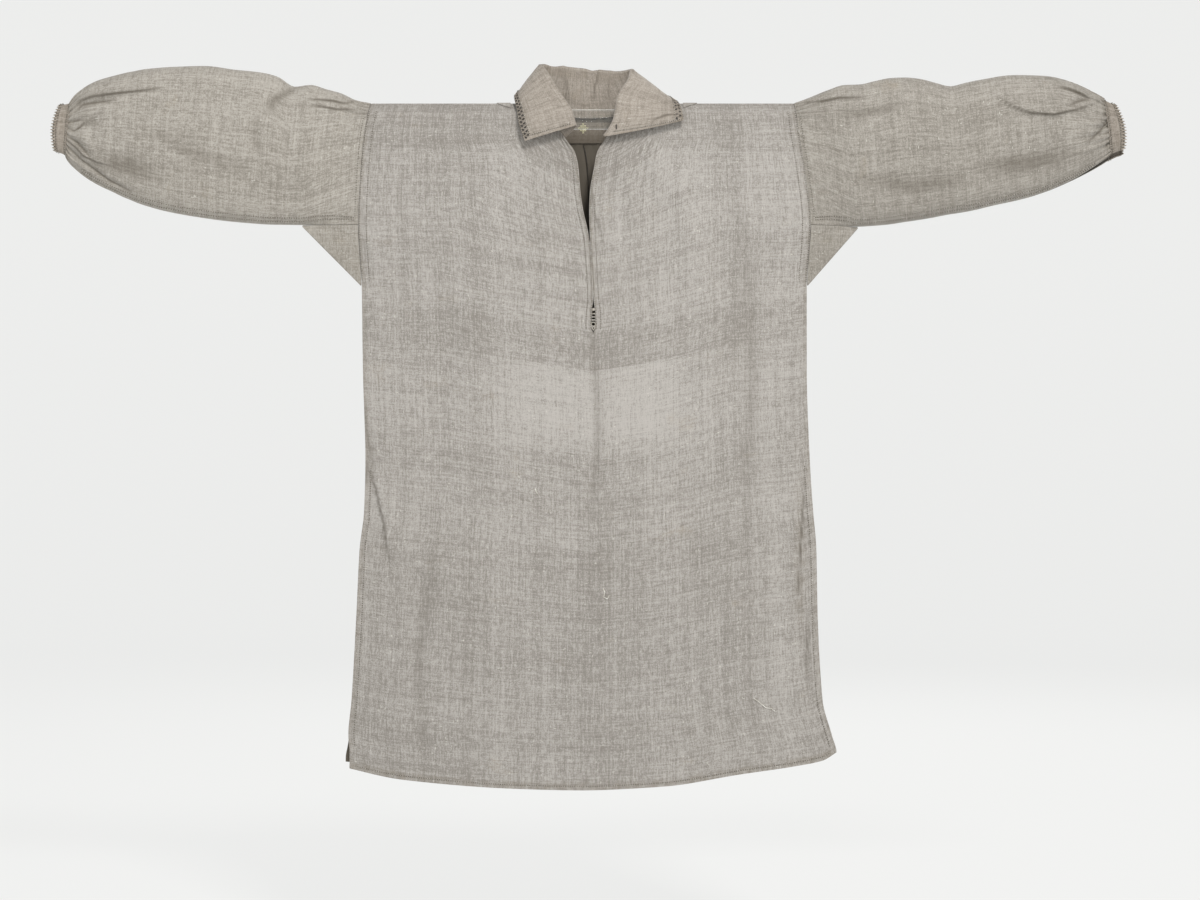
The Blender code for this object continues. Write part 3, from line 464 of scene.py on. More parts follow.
def smooth(rows, name, at):
    """A column's value at a place in the first column: cubics between rows that never overshoot."""
    place = np.array([row[0] for row in rows], float)
    value = np.array([getattr(row, name) for row in rows], float)
    step = np.diff(place)
    slope = np.diff(value) / step
    total = slope[:-1] + slope[1:]
    product = slope[:-1] * slope[1:]
    inner = np.where(product > 0, 2 * product / np.where(total == 0, 1, total), 0)
    tangent = np.concatenate((slope[:1], inner, slope[-1:]))
    at = np.clip(np.asarray(at, float), place[0], place[-1])
    row = np.clip(np.searchsorted(place, at, side="right") - 1, 0, len(step) - 1)
    t = (at - place[row]) / step[row]
    return (
        (1 + 2 * t) * (1 - t) ** 2 * value[row]
        + t * (1 - t) ** 2 * step[row] * tangent[row]
        + t * t * (3 - 2 * t) * value[row + 1]
        + t * t * (t - 1) * step[row] * tangent[row + 1]
    )


def ease(low, high, at):
    """0 below low, 1 above high, and 3t^2 - 2t^3 between."""
    t = np.clip((at - low) / (high - low), 0, 1)
    return t * t * (3 - 2 * t)


def mix(a, b, share):
    return a + (b - a) * share


def stack(*parts):
    """Arrays spread to one shape, side by side on a new last axis."""
    return np.stack(np.broadcast_arrays(*parts), axis=-1)


def unit(ways):
    """Directions along the last axis, made 1 long."""
    return ways / np.maximum(np.linalg.norm(ways, axis=-1, keepdims=True), 1e-9)


def run_along(route):
    """Length of a route up to each of its points."""
    return np.concatenate(((0,), np.cumsum(np.linalg.norm(np.diff(route, axis=0), axis=1))))


def at_places(at, places, values):
    """Each column of the values, read between the places of its rows."""
    return np.stack([np.interp(at, places, line) for line in values.T], axis=-1)


def stepped(*stretches):
    """Places in stretches of even steps, each with its start, end and count. The last keeps its end."""
    rows = [np.linspace(*stretch, endpoint=False) for stretch in stretches[:-1]]
    return np.concatenate((*rows, np.linspace(*stretches[-1])))


def hang(run):
    """Depth and height at a run of cloth from the ridge: a slope, an arc round the rod, then plumb."""
    run = np.abs(run)
    angle = np.clip(LEAN - (run - SLOPE) / BEARING, 0, LEAN)
    sloping = run < SLOPE
    depth = np.where(sloping, run * math.sin(LEAN), BEARING * np.cos(angle))
    height = np.where(sloping, RIDGE - run * math.cos(LEAN), BEARING * np.sin(angle))
    return depth, height - np.maximum(run - RUN_TO_MIDDLE, 0)


def run_at(z):
    """Run of plumb cloth at a height below the rod's middle."""
    return RUN_TO_MIDDLE - z


def fold_height(folds, x, z):
    """Sum of bells exp(-(distance / width)^2) across straight lines, faded at both ends."""
    total = np.zeros(np.broadcast(x, z).shape)
    for fold in folds:
        along = np.array((fold.x1 - fold.x0, fold.z1 - fold.z0), float)
        length = math.hypot(*along)
        share = ((x - fold.x0) * along[0] + (z - fold.z0) * along[1]) / length**2
        across = ((x - fold.x0) * along[1] - (z - fold.z0) * along[0]) / length
        fade = ease(-0.15, 0.25, share) * (1 - ease(0.75, 1.15, share))
        total = total + fold.height * fade * np.exp(-((across / fold.width) ** 2))
    return total


def creased(creases, x, z):
    """Height and painted shade of the creases: a bell across the route, or a lap, steep below it and long
    above.

    Distance and side are taken from the nearest piece of the route. Both kinds fade over their ends. The
    painted shade darkens the fold where shade falls: along a trough's bottom, or on the steep side of a
    lap.
    """
    height = np.zeros(np.broadcast(x, z).shape)
    painted_shade = np.zeros(height.shape)
    for crease in creases:
        points = np.array(crease.route, float)
        length = np.linalg.norm(np.diff(points, axis=0), axis=1)
        start = np.concatenate(((0,), np.cumsum(length)))
        best = np.full(height.shape, np.inf)
        side = np.zeros(height.shape)
        place = np.zeros(height.shape)
        for index, (a, b) in enumerate(zip(points[:-1], points[1:])):
            direction = (b - a) / length[index]
            along = np.clip((x - a[0]) * direction[0] + (z - a[1]) * direction[1], 0, length[index])
            dx = x - a[0] - along * direction[0]
            dz = z - a[1] - along * direction[1]
            distance = np.hypot(dx, dz)
            nearer = distance < best
            best = np.where(nearer, distance, best)
            up = np.array((-direction[1], direction[0])) * (1 if direction[0] >= 0 else -1)
            side = np.where(nearer, np.sign(dx * up[0] + dz * up[1]), side)
            place = np.where(nearer, (start[index] + along) / start[-1], place)
        fade = 0.25 + 0.75 * np.sin(np.pi * np.clip(place, 0.02, 0.98)) ** 0.6
        signed = best * side
        strength = min(abs(crease.height) / 3.0, 1.0)
        if crease.kind == "bell":
            shape = np.exp(-((best / crease.width) ** 2))
            line = shape**3 if crease.height < 0 else 0.0
            painted_shade = np.maximum(painted_shade, 0.8 * strength * fade * line)
            if crease.height < 0 and crease.width < 6:
                painted_shade = np.maximum(painted_shade, 1.2 * strength * fade * np.exp(-((best / 1.5) ** 2)))
        else:
            above = np.exp(-np.maximum(signed, 0) / (1.6 * crease.width))
            below = np.exp(np.minimum(signed, 0) / (0.22 * crease.width))
            shape = above * below * np.exp(-((best / (3.2 * crease.width)) ** 4))
            line = np.exp(-(((signed + 1.1) / 1.8) ** 2))
            painted_shade = np.maximum(painted_shade, 1.15 * strength * fade * line)
        height = height + crease.height * fade * shape
    return height, painted_shade


def swell(x, z, size, seed):
    """Gentle unevenness: three crossed sine waves of chosen size with phases from the seed."""
    phase = np.random.default_rng(seed).uniform(0, 2 * np.pi, 6)
    first = np.sin(x / size + phase[0]) * np.sin(z / (1.7 * size) + phase[1])
    second = np.sin((x + 0.6 * z) / (0.57 * size) + phase[2]) * np.sin((z - 0.3 * x) / size + phase[3])
    third = np.sin((x - 0.8 * z) / (0.31 * size) + phase[4]) * np.sin((z + x) / (0.43 * size) + phase[5])
    return 0.5 * first + 0.3 * second + 0.2 * third


def body(x, run, facing):
    """Outer face of the body: depth is edge + (middle - edge)(1 - |across|^3), with the big folds."""
    depth, z = hang(run)
    left = smooth(SIDES, "left", z)
    right = smooth(SIDES, "right", z)
    across = np.clip(np.abs(2 * (x - left) / (right - left) - 1), 0, 1)
    edge = smooth(DEPTHS, "edge", z)
    lens = edge + (smooth(DEPTHS, "middle", z) - edge) * (1 - across**LENS_POWER)
    lens = lens + fold_height(BIG_FOLDS[facing], x, z) * ease(0, 0.25, 1 - across) * ease(30, 90, -z)
    if facing > 0:
        lining = (1 - ease(LINING_HALF_WIDTH, LINING_HALF_WIDTH + 25, np.abs(x))) * ease(-90, -40, z)
        depth = depth + (LINING_CLOTH + 2 * SEAM) * lining * ease(-16, -2, -np.abs(z + 2) + 4)
        lens = lens + (LINING_CLOTH + 2 * SEAM) * lining
    depth = np.where(z < 0, lens, depth)
    return stack(x, np.where(np.sign(run) == 0, 1, np.sign(run)) * depth, z)


def patch_faces(rows, columns, start=0):
    """Faces of a grid of points."""
    index = start + np.arange(rows * columns).reshape(rows, columns)
    return stack(index[:-1, :-1], index[1:, :-1], index[1:, 1:], index[:-1, 1:]).reshape(-1, 4)


def ring_faces(rings, sides):
    """Faces between closed rings of points that follow one another."""
    index = np.arange(rings * sides).reshape(rings, sides)
    after = np.roll(index, -1, axis=1)
    return stack(index[:-1], index[1:], after[1:], after[:-1]).reshape(-1, 4)


def vertex_normals(points, faces):
    """Mean way out at each point, from the diagonals of the faces round it."""
    a, b, c, d = (points[faces[:, corner]] for corner in range(4))
    crossing = np.cross(c - a, d - b)
    total = np.zeros_like(points)
    for corner in range(4):
        np.add.at(total, faces[:, corner], crossing)
    return unit(total)


def rim_faces(faces, count):
    """Faces between the two skins of a wall, along the edges that only one outer face has."""
    edges = np.concatenate([np.stack((faces[:, i], faces[:, (i + 1) % 4]), axis=1) for i in range(4)])
    forward = edges[:, 0] * count + edges[:, 1]
    backward = edges[:, 1] * count + edges[:, 0]
    open_edges = edges[~np.isin(backward, forward)]
    a, b = open_edges[:, 0], open_edges[:, 1]
    return np.stack((b, a, a + count, b + count), axis=1)


def put_mesh(name, points, faces, uv=None, wear=None, fold=None, sharp=55):
    """A mesh from whole arrays of points in millimetres and four-sided faces."""
    mesh = bpy.data.meshes.new(name)
    mesh.vertices.add(len(points))
    mesh.vertices.foreach_set("co", (points * MM).astype(np.float32).ravel())
    mesh.loops.add(faces.size)
    mesh.loops.foreach_set("vertex_index", faces.astype(np.int32).ravel())
    mesh.polygons.add(len(faces))
    mesh.polygons.foreach_set("loop_start", np.arange(len(faces), dtype=np.int32) * faces.shape[1])
    mesh.update(calc_edges=True)
    if uv is not None:
        layer = mesh.uv_layers.new(name="cloth")
        layer.data.foreach_set("uv", uv[faces.ravel()].astype(np.float32).ravel())
    for key, values in (("wear", wear), ("fold", fold)):
        if values is not None:
            layer = mesh.attributes.new(key, "FLOAT", "POINT")
            layer.data.foreach_set("value", values.astype(np.float32))
    mesh.validate()
    mesh.shade_smooth()
    mesh.set_sharp_from_angle(angle=math.radians(sharp))
    piece = bpy.data.objects.new(name, mesh)
    bpy.context.scene.collection.objects.link(piece)
    return piece


class Cloth:
    """Patches of one cut piece, joined where they meet.

    A patch has base points, heights, cloth coordinates, wear and the painted shade of its folds.
    """

    def __init__(self, name):
        self.name = name
        self.patches = []

    def add(self, base, lift, uv, wear, fold=0.0):
        shape = base.shape[:2]
        values = [np.broadcast_to(value, shape).reshape(-1) for value in (lift, wear, fold)]
        rows = np.repeat(np.arange(shape[0]), shape[1])
        self.patches.append((base, uv, np.stack((*values, rows), axis=1)))
        return self

    def build(self, wall, turned=False, level_ends=False, inside=0.3):
        """A closed wall: outer skin on base + lift along the normals, inner skin a wall behind it."""
        faces, start = [], 0
        for base, _, _ in self.patches:
            faces.append(patch_faces(*base.shape[:2], start))
            start += base.shape[0] * base.shape[1]
        faces = np.concatenate(faces)
        points = np.concatenate([base.reshape(-1, 3) for base, _, _ in self.patches])
        uv = np.concatenate([place.reshape(-1, 2) for _, place, _ in self.patches])
        values = np.concatenate([values for _, _, values in self.patches])
        _, first, place = np.unique(np.round(points, 4), axis=0, return_index=True, return_inverse=True)
        faces = place.reshape(-1)[faces]
        if turned:
            faces = faces[:, ::-1]
        points, uv = points[first], uv[first]
        lift, wear, fold, rows = values[first].T
        normal = vertex_normals(points, faces)
        if level_ends:
            normal[(rows == 0) | (rows == rows.max()), 0] = 0
            normal = unit(normal)
        outer = points + normal * lift[:, None]
        inner = outer - normal * wall
        count = len(points)
        skin = np.concatenate((faces, faces[:, ::-1] + count, rim_faces(faces, count)))
        both = np.concatenate((outer, inner))
        # The inner skin gets at least the inside amount of painted shade, as it lies in shade
        shaded = np.concatenate((fold, np.maximum(fold, inside)))
        return put_mesh(self.name, both, skin, np.tile(uv, (2, 1)), np.tile(wear, 2), shaded)


class Term:
    """A socket or number of a node tree. Its operators add the Math nodes of the expression."""

    def __init__(self, tree, value):
        self.tree = tree
        self.value = value

    def math(self, operation, *others):
        node = self.tree.nodes.new("ShaderNodeMath")
        node.operation = operation
        for index, term in enumerate((self, *others)):
            value = term.value if isinstance(term, Term) else term
            if isinstance(value, bpy.types.NodeSocket):
                self.tree.links.new(value, node.inputs[index])
            else:
                node.inputs[index].default_value = float(value)
        return Term(self.tree, node.outputs[0])

    def __add__(self, other):
        return self.math("ADD", other)

    def __sub__(self, other):
        return self.math("SUBTRACT", other)

    def __rsub__(self, other):
        return Term(self.tree, other).math("SUBTRACT", self)

    def __mul__(self, other):
        return self.math("MULTIPLY", other)

    def __truediv__(self, other):
        return self.math("DIVIDE", other)

    def __pow__(self, other):
        return self.math("POWER", other)

    def __abs__(self):
        return self.math("ABSOLUTE")

    __radd__ = __add__
    __rmul__ = __mul__

    def sine(self):
        return self.math("SINE")

    def window(self, low, high):
        """0 to 1 as the value goes from low to high, clamped and smooth."""
        node = self.tree.nodes.new("ShaderNodeMapRange")
        node.interpolation_type = "SMOOTHSTEP"
        self.tree.links.new(self.value, node.inputs["Value"])
        node.inputs["From Min"].default_value = low
        node.inputs["From Max"].default_value = high
        return Term(self.tree, node.outputs["Result"])


class Finish:
    """A material under construction."""

    def __init__(self, name):
        self.material = bpy.data.materials.new(name)
        self.material.use_nodes = True
        self.tree = self.material.node_tree
        self.shader = self.tree.nodes["Principled BSDF"]

    def node(self, kind, settings=(), inputs=(), output=0):
        """Any node: its settings first, then the values or links of its sockets."""
        node = self.tree.nodes.new(kind)
        for name, value in dict(settings).items():
            setattr(node, name, value)
        for name, value in dict(inputs).items():
            self.set(node.inputs[name], value)
        return Term(self.tree, node.outputs[output])

    def ramp(self, rows, place):
        """The tones of a table of bands at a place from 0 to 1."""
        node = self.tree.nodes.new("ShaderNodeValToRGB")
        stops = node.color_ramp.elements
        while len(stops) > 1:
            stops.remove(stops[-1])
        for index, row in enumerate(rows):
            stop = stops.new(row.place) if index else stops[0]
            stop.position = row.place
            stop.color = (row.tone, row.tone, row.tone, 1)
        self.set(node.inputs[0], place)
        return Term(self.tree, node.outputs[0])

    def set(self, socket, value):
        value = value.value if isinstance(value, Term) else value
        if isinstance(value, bpy.types.NodeSocket):
            self.tree.links.new(value, socket)
        else:
            socket.default_value = value

    def cloth_place(self):
        """The two cloth coordinates of the piece, in metres along its weft and its warp."""
        node = self.tree.nodes.new("ShaderNodeUVMap")
        node.uv_map = "cloth"
        split = self.tree.nodes.new("ShaderNodeSeparateXYZ")
        self.tree.links.new(node.outputs[0], split.inputs[0])
        return Term(self.tree, split.outputs[0]), Term(self.tree, split.outputs[1])

    def vector(self, x, y, z=0.0):
        return self.node("ShaderNodeCombineXYZ", inputs={0: x, 1: y, 2: z})

    def noise(self, vector, scale=1.0, detail=2.0, roughness=0.5):
        inputs = {"Vector": vector, "Scale": scale, "Detail": detail, "Roughness": roughness}
        return self.node("ShaderNodeTexNoise", inputs=inputs)

    def cells(self, vector):
        return self.node("ShaderNodeTexVoronoi", inputs={"Vector": vector, "Scale": 1.0})

    def painted(self, name):
        """A value that the mesh carries at its points."""
        return self.node("ShaderNodeAttribute", {"attribute_name": name}, output="Fac")

    def mix(self, share, a, b):
        return self.node("ShaderNodeMix", {"data_type": "RGBA"}, {0: share, 6: a, 7: b}, output=2)

    def set_shader(self, **inputs):
        for name, value in inputs.items():
            self.set(self.shader.inputs[name.replace("_", " ")], value)
        return self.material


def shade(colour, factor, warm=0.0):
    """A colour made lighter or darker, and browner by warm."""
    r, g, b = (channel * factor for channel in colour)
    return (r * (1 + warm), g, b * (1 - 1.6 * warm), 1.0)


def scaled(colour, factor):
    return tuple(factor * channel for channel in colour)


# Size of a panel's cloth, in metres, over which its bands are spread
PANEL_WIDTH = 0.72
PANEL_LENGTH = 1.075


def linen(name, colour, weave, banded=False, streak=1.0, fading=1.0):
    """Plain-woven linen: threads of uneven thickness both ways, slubs, stains, and bands where banded."""
    finish = Finish(name)
    u, v = finish.cloth_place()
    turn = 2 * math.pi / weave
    warp_phase = finish.noise(finish.vector(u * 90, v * 6), detail=1)
    weft_phase = finish.noise(finish.vector(u * 6, v * 90, 3.7), detail=1)
    over = (u * (turn / 2) + warp_phase * 5).sine()
    under = (v * (turn / 2) + weft_phase * 5).sine()
    weave_height = abs(over) * 0.5 + abs(under) * 0.5

    # Threads differ in thickness along their length, which reads as fine grain and streaks both ways
    warp_streak = finish.noise(finish.vector(u * 430, v * 60), detail=2, roughness=0.7)
    weft_streak = finish.noise(finish.vector(u * 60, v * 430, 1.3), detail=2, roughness=0.7)
    grain = finish.noise(finish.vector(u * 780, v * 780, 6.6), detail=1, roughness=0.6)
    warp_rope = finish.noise(finish.vector(u * 300, v * 5, 5.1), detail=2, roughness=0.6)
    weft_rope = finish.noise(finish.vector(u * 5, v * 300, 8.2), detail=2, roughness=0.6)
    warp_stripe = finish.noise(finish.vector(u * 55, v * 0.9, 12.4), detail=3, roughness=0.65)
    weft_stripe = finish.noise(finish.vector(u * 0.9, v * 55, 15.7), detail=3, roughness=0.65)
    fine = (warp_streak - 0.5) * 1.7 + (weft_streak - 0.5) * 1.15 + (grain - 0.5) * 1.9
    ropes = (warp_rope - 0.5) * 0.95 + (weft_rope - 0.5) * 0.75
    ropes = ropes + (warp_stripe - 0.5) * 0.62 + (weft_stripe - 0.5) * 0.46
    cloud = finish.noise(finish.vector(u * 7, v * 7, 2.0), detail=3)
    mottle = finish.noise(finish.vector(u * 60, v * 60, 4.0), detail=3, roughness=0.65)
    tone = 0.5 + fine * streak + ropes + (cloud - 0.5) * 0.36 + (mottle - 0.5) * 0.16
    if banded:
        wobble = (finish.noise(finish.vector(u * 9, v * 9, 9.0), detail=2) - 0.5) * 0.003
        weft_band = finish.ramp(WEFT_BANDS, v / PANEL_LENGTH + wobble)
        warp_band = finish.ramp(WARP_BANDS, u / PANEL_WIDTH + wobble)
        tone = tone + (weft_band - 0.5) * 0.95 + (warp_band - 0.5) * 0.60
        # One paler place under the slit, as wide as the chest
        across = 1 - abs(u - 0.37).window(0.07, 0.16)
        place = v / PANEL_LENGTH
        down = place.window(0.355, 0.364) * (1 - place.window(0.44, 0.50))
        tone = tone + across * down * 0.32
    tone = tone + (weave_height - 0.5) * 0.10
    base = finish.mix(tone.window(-0.25, 1.25), shade(colour, 0.66, 0.03), shade(colour, 1.34))

    # Slubs are short thick places of one thread, paler than the rest
    slub = finish.cells(finish.vector(u * 190, v * 60, 6.0))
    cross = finish.cells(finish.vector(u * 60, v * 190, 2.5))
    chance = finish.noise(finish.vector(u * 31, v * 31, 7.0), detail=1)
    specks = (1 - slub.window(0.05, 0.16)) + (1 - cross.window(0.05, 0.16))
    specks = specks * chance.window(0.52, 0.60)
    base = finish.mix(specks * 0.75, base, shade((0.66, 0.64, 0.58), 1.0))

    # Faint brown blotches, and grey handling along the worn edges
    blotch = finish.noise(finish.vector(u * 11, v * 17, 11.0), detail=4, roughness=0.7)
    base = finish.mix(blotch.window(0.60, 0.80) * (0.34 * fading), base, shade(colour, 0.74, 0.16))
    handling = finish.noise(finish.vector(u * 70, v * 70, 3.0), detail=3)
    grime = finish.painted("wear") * handling.window(0.25, 0.75)
    base = finish.mix(grime * 0.55, base, shade(colour, 0.60, 0.10))
    # Painted shade from the fold attribute: creases, gather troughs, recesses and inner skins
    base = finish.mix(finish.painted("fold") * 0.75, base, shade(colour, 0.30, 0.10))
    height = weave_height * 0.4 + (warp_streak + weft_streak) * 0.35
    height = height + (warp_rope + weft_rope) * 0.4 + specks * 0.3
    relief = {"Height": height, "Strength": 0.55, "Distance": 0.0006}
    bump = finish.node("ShaderNodeBump", inputs=relief, output="Normal")
    finish.set_shader(Base_Color=base, Roughness=0.84 + (mottle - 0.5) * 0.14, Normal=bump)
    return finish.set_shader(Specular_IOR_Level=0.25, Sheen_Weight=0.18, Sheen_Roughness=0.5)


def thread_finish(name, colour):
    """Twisted linen thread: a colour that varies slowly from stitch to stitch."""
    finish = Finish(name)
    place = finish.node("ShaderNodeTexCoord", output="Object")
    tone = finish.noise(place, scale=180, detail=2)
    base = finish.mix(tone.window(0.3, 0.7), shade(colour, 0.72, 0.04), shade(colour, 1.12))
    return finish.set_shader(Base_Color=base, Roughness=0.8, Specular_IOR_Level=0.25)


def clear_finish(name):
    """Clear acrylic: see-through, with gloss and a faint painted glow that grow towards the edges, and a
    few faint scratches.
    """
    finish = Finish(name)
    place = finish.node("ShaderNodeTexCoord", output="Object")
    x, y, z = (finish.node("ShaderNodeSeparateXYZ", inputs={0: place}, output=axis) for axis in range(3))
    scratch = finish.noise(finish.vector(x * 12, y * 700, z * 700), detail=2)
    rough = 0.03 + scratch.window(0.55, 0.75) * 0.05
    rim = finish.node("ShaderNodeLayerWeight", inputs={"Blend": 0.5}, output="Facing") ** 4.0
    clear = finish.node("ShaderNodeBsdfTransparent", inputs={"Color": (0.95, 0.95, 0.94, 1)})
    mixed = finish.node("ShaderNodeMixShader", inputs={0: 0.03 + rim * 0.9, 1: clear})
    finish.set_shader(Base_Color=(0.95, 0.96, 0.96, 1), Metallic=1.0, Roughness=rough)
    # The gloss side glows a little: a painted highlight along the rod's edges
    finish.set_shader(Emission_Color=(0.92, 0.94, 0.93, 1), Emission_Strength=0.45)
    finish.tree.links.new(finish.shader.outputs[0], mixed.value.node.inputs[2])
    output = finish.tree.nodes["Material Output"]
    finish.tree.links.new(mixed.value, output.inputs["Surface"])
    return finish.material


MATERIALS = {}


def material(key):
    """The finish of one slot, made once from the scene's colours and sizes."""
    if key not in MATERIALS:
        colours = bpy.context.scene.shirt_colours
        weave = bpy.context.scene.shirt_sizes.weave
        fine = weave * 0.85
        body, sleeve, collar = colours.body, colours.sleeve, colours.collar
        makers = {
            "body": lambda: linen("banded_linen", body, weave, banded=True),
            "sleeve": lambda: linen("sleeve_linen", sleeve, weave),
            "sleeve_right": lambda: linen("right_sleeve_linen", scaled(sleeve, 0.89), weave),
            "collar": lambda: linen("collar_linen", collar, fine, streak=0.8, fading=1.3),
            "thread": lambda: thread_finish("linen_thread", colours.thread),
            "cuff": lambda: linen("cuff_linen", collar, fine, fading=1.3),
            "picot": lambda: thread_finish("picot_thread", scaled(collar, 1.25)),
            "loose": lambda: thread_finish("loose_thread", (0.80, 0.79, 0.74)),
            "cuff_right": lambda: linen("right_cuff_linen", scaled(collar, 0.87), fine),
            "edge": lambda: thread_finish("rolled_edge_highlights", scaled(body, 1.22)),
            "dark": lambda: thread_finish("shadowed_gaps", (0.06, 0.055, 0.05)),
            "stitch_shade": lambda: thread_finish("stitch_dimples", (0.125, 0.113, 0.095)),
            "mark": lambda: thread_finish("mark_thread", (0.80, 0.77, 0.55)),
            "rod": lambda: clear_finish("clear_acrylic"),
        }
        MATERIALS[key] = makers[key]()
    return MATERIALS[key]


def dress(piece, key, node=None):
    """Give a finished piece its material and body, and hide the node of the model that it stands for."""
    piece.data.materials.append(material(key))
    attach(piece, "root")
    if node:
        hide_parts(node)
    return piece


def size(name):
    """A value of the shirt's sizes, in millimetres."""
    return getattr(bpy.context.scene.shirt_sizes, name) / MM


def edge_fade(distance, width):
    """1 at an edge, 0 beyond a width."""
    return 1 - ease(0.4 * width, width, distance)


NECK_GATHERS = 10
POINTS_PER_GATHER = 6
FRONT_SHOULDER_COLUMNS = 34
BACK_GATHERS = 16
BACK_SHOULDER_COLUMNS = 30
SHOULDER_LENGTH = 265
SPREAD = 260.0
FRONT_LENGTH = 1039
BACK_LENGTH = 1073
HEM_Z = -1040


def crowded(count, length, both=True):
    """Places from 0 to 1, close together within 12 mm of an edge of the cloth and even elsewhere."""
    near = np.array((0, 2.2, 4.6, 7.4, 11.0)) / length
    if both:
        inner = np.linspace(15 / length, 1 - 15 / length, count - 10)
        return np.concatenate((near, inner, 1 - near[::-1]))
    return np.concatenate((near, np.linspace(15 / length, 1, count - 5, endpoint=False)))


def gathers(number, count, longest, below, seed):
    """Heights of a row of gathers of uneven strength, and how far each reaches down the cloth."""
    chance = np.random.default_rng(seed)
    index = np.floor(number).astype(int)
    reach = chance.uniform(60, longest, count + 1)[index]
    strength = chance.uniform(0.55, 1.0, count + 1)[index]
    height = size("gather") * strength * np.sin(np.pi * number) ** 2
    return height * (1 - ease(0.04, 1.0, below / reach)), reach


def hems(z, from_side, from_hem):
    """Height of the doubled cloth along the foot and along the open sides."""
    vents = 0.5 * edge_fade(from_side, 7) * (1 - ease(VENT_TOP - 4, VENT_TOP + 12, z))
    return 0.6 * edge_fade(from_hem, size("hem")) + vents


def blot(x, z, centre, reach):
    """A soft spot on the cloth: 1 at its centre."""
    return np.exp(-(((x - centre[0]) / reach[0]) ** 2) - ((z - centre[1]) / reach[1]) ** 2)


def front_half(side):
    """Grid of the front from one armhole to the slit, its heights, cloth coordinates, wear and painted
    shade.
    """
    gathered = np.linspace(0, 1, NECK_GATHERS * POINTS_PER_GATHER + 1)
    shoulder = crowded(FRONT_SHOULDER_COLUMNS, SHOULDER_LENGTH, both=False)
    places = mix(NECK_RIDGE[side], NECK_END[side], gathered)
    neck_x = smooth(NECK, "x", places)
    neck_run = smooth(NECK, "run", places)
    top = np.concatenate((np.full(len(shoulder), SHOULDER_SEAM), np.abs(neck_run)))
    even = crowded(len(top), 365)
    # Rows are close together at the shoulder and round the slit's foot
    rows = stepped((0, 60, 26), (60, 330, 66), (330, 1015, 106), (1015, FRONT_LENGTH, 12))
    rows = rows[:, None] / FRONT_LENGTH
    foot_x = mix(smooth(SIDES, side, HEM_Z), SLIT[0].left, even)
    hem = run_at(smooth(HEM, "front", foot_x))
    run = mix(top, hem, rows)
    z = hang(run)[1]
    side_x = smooth(SIDES, side, z)
    slit_x = smooth(SLIT, side, z)
    count = len(shoulder)
    at_shoulder = mix(side_x[:, :count], neck_x[0], shoulder)
    at_neck = neck_x + (slit_x[:, count:] - neck_x[-1]) * gathered
    near = np.concatenate((at_shoulder, at_neck), axis=1)
    below = run - top
    x = mix(near, mix(side_x, slit_x, even), ease(0, SPREAD, below))
    x[:, 0] = side_x[:, 0]
    x[:, -1] = slit_x[:, -1]
    base = body(x, -run, -1)

    number = np.concatenate((np.zeros(count), gathered * NECK_GATHERS))
    lift, reach = gathers(number, NECK_GATHERS, 170, below, 11 if side == "left" else 12)
    from_side = np.abs(x - side_x)
    from_slit = np.abs(x - slit_x)
    from_hem = hem - run
    above_foot = ease(SLIT_FOOT - 6, SLIT_FOOT + 2, z)
    # Painted shade in the troughs between the neck gathers, added to that along the creases
    valley = (1 - np.sin(np.pi * number) ** 2) * ease(0, 0.2, number)
    valley = valley * (1 - ease(0.0, 0.55, below / reach))
    crease, fold = creased(FRONT_CREASES, x, z)
    lift = lift + crease * ease(0, 14, from_side) * ease(2, 12, from_hem)
    fold = np.maximum(fold, 0.5 * valley**3)
    lift = lift + 0.9 * swell(x, z, 46, 3) * ease(20, 90, below) * ease(0, 30, from_side)
    lift = lift + 0.55 * edge_fade(from_slit, 8) * above_foot
    lift = lift + hems(z, from_side, from_hem)
    wear = 0.8 * edge_fade(from_hem, 16) + 0.5 * edge_fade(from_side, 9)
    wear = wear + 0.5 * edge_fade(from_slit, 7) * above_foot + blot(x, z, (338, -700), (8, 110))
    wear = np.clip(wear, 0, 1)
    # The same painted-shade attribute also darkens the top of the left vent and one small spot on the
    # right
    corner, spot = blot(x, z, (-355, -563), (7, 14)), blot(x, z, (326, -392), (2.4, 4.5))
    fold = np.maximum(fold, np.maximum(0.55 * corner, 0.8 * spot))
    across = PANEL_WIDTH / 2 * (x - side_x) / (slit_x - side_x)
    uv = stack(across if side == "left" else PANEL_WIDTH - across, rows * PANEL_LENGTH)
    order = -1 if side == "right" else 1
    return [grid[:, ::order] for grid in (base, lift, uv, wear, fold)]


def make_front():
    """The front panel: its two halves meet below the slit."""
    cloth = Cloth("front_panel")
    for side in ("left", "right"):
        cloth.add(*front_half(side))
    return cloth.build(size("wall"))


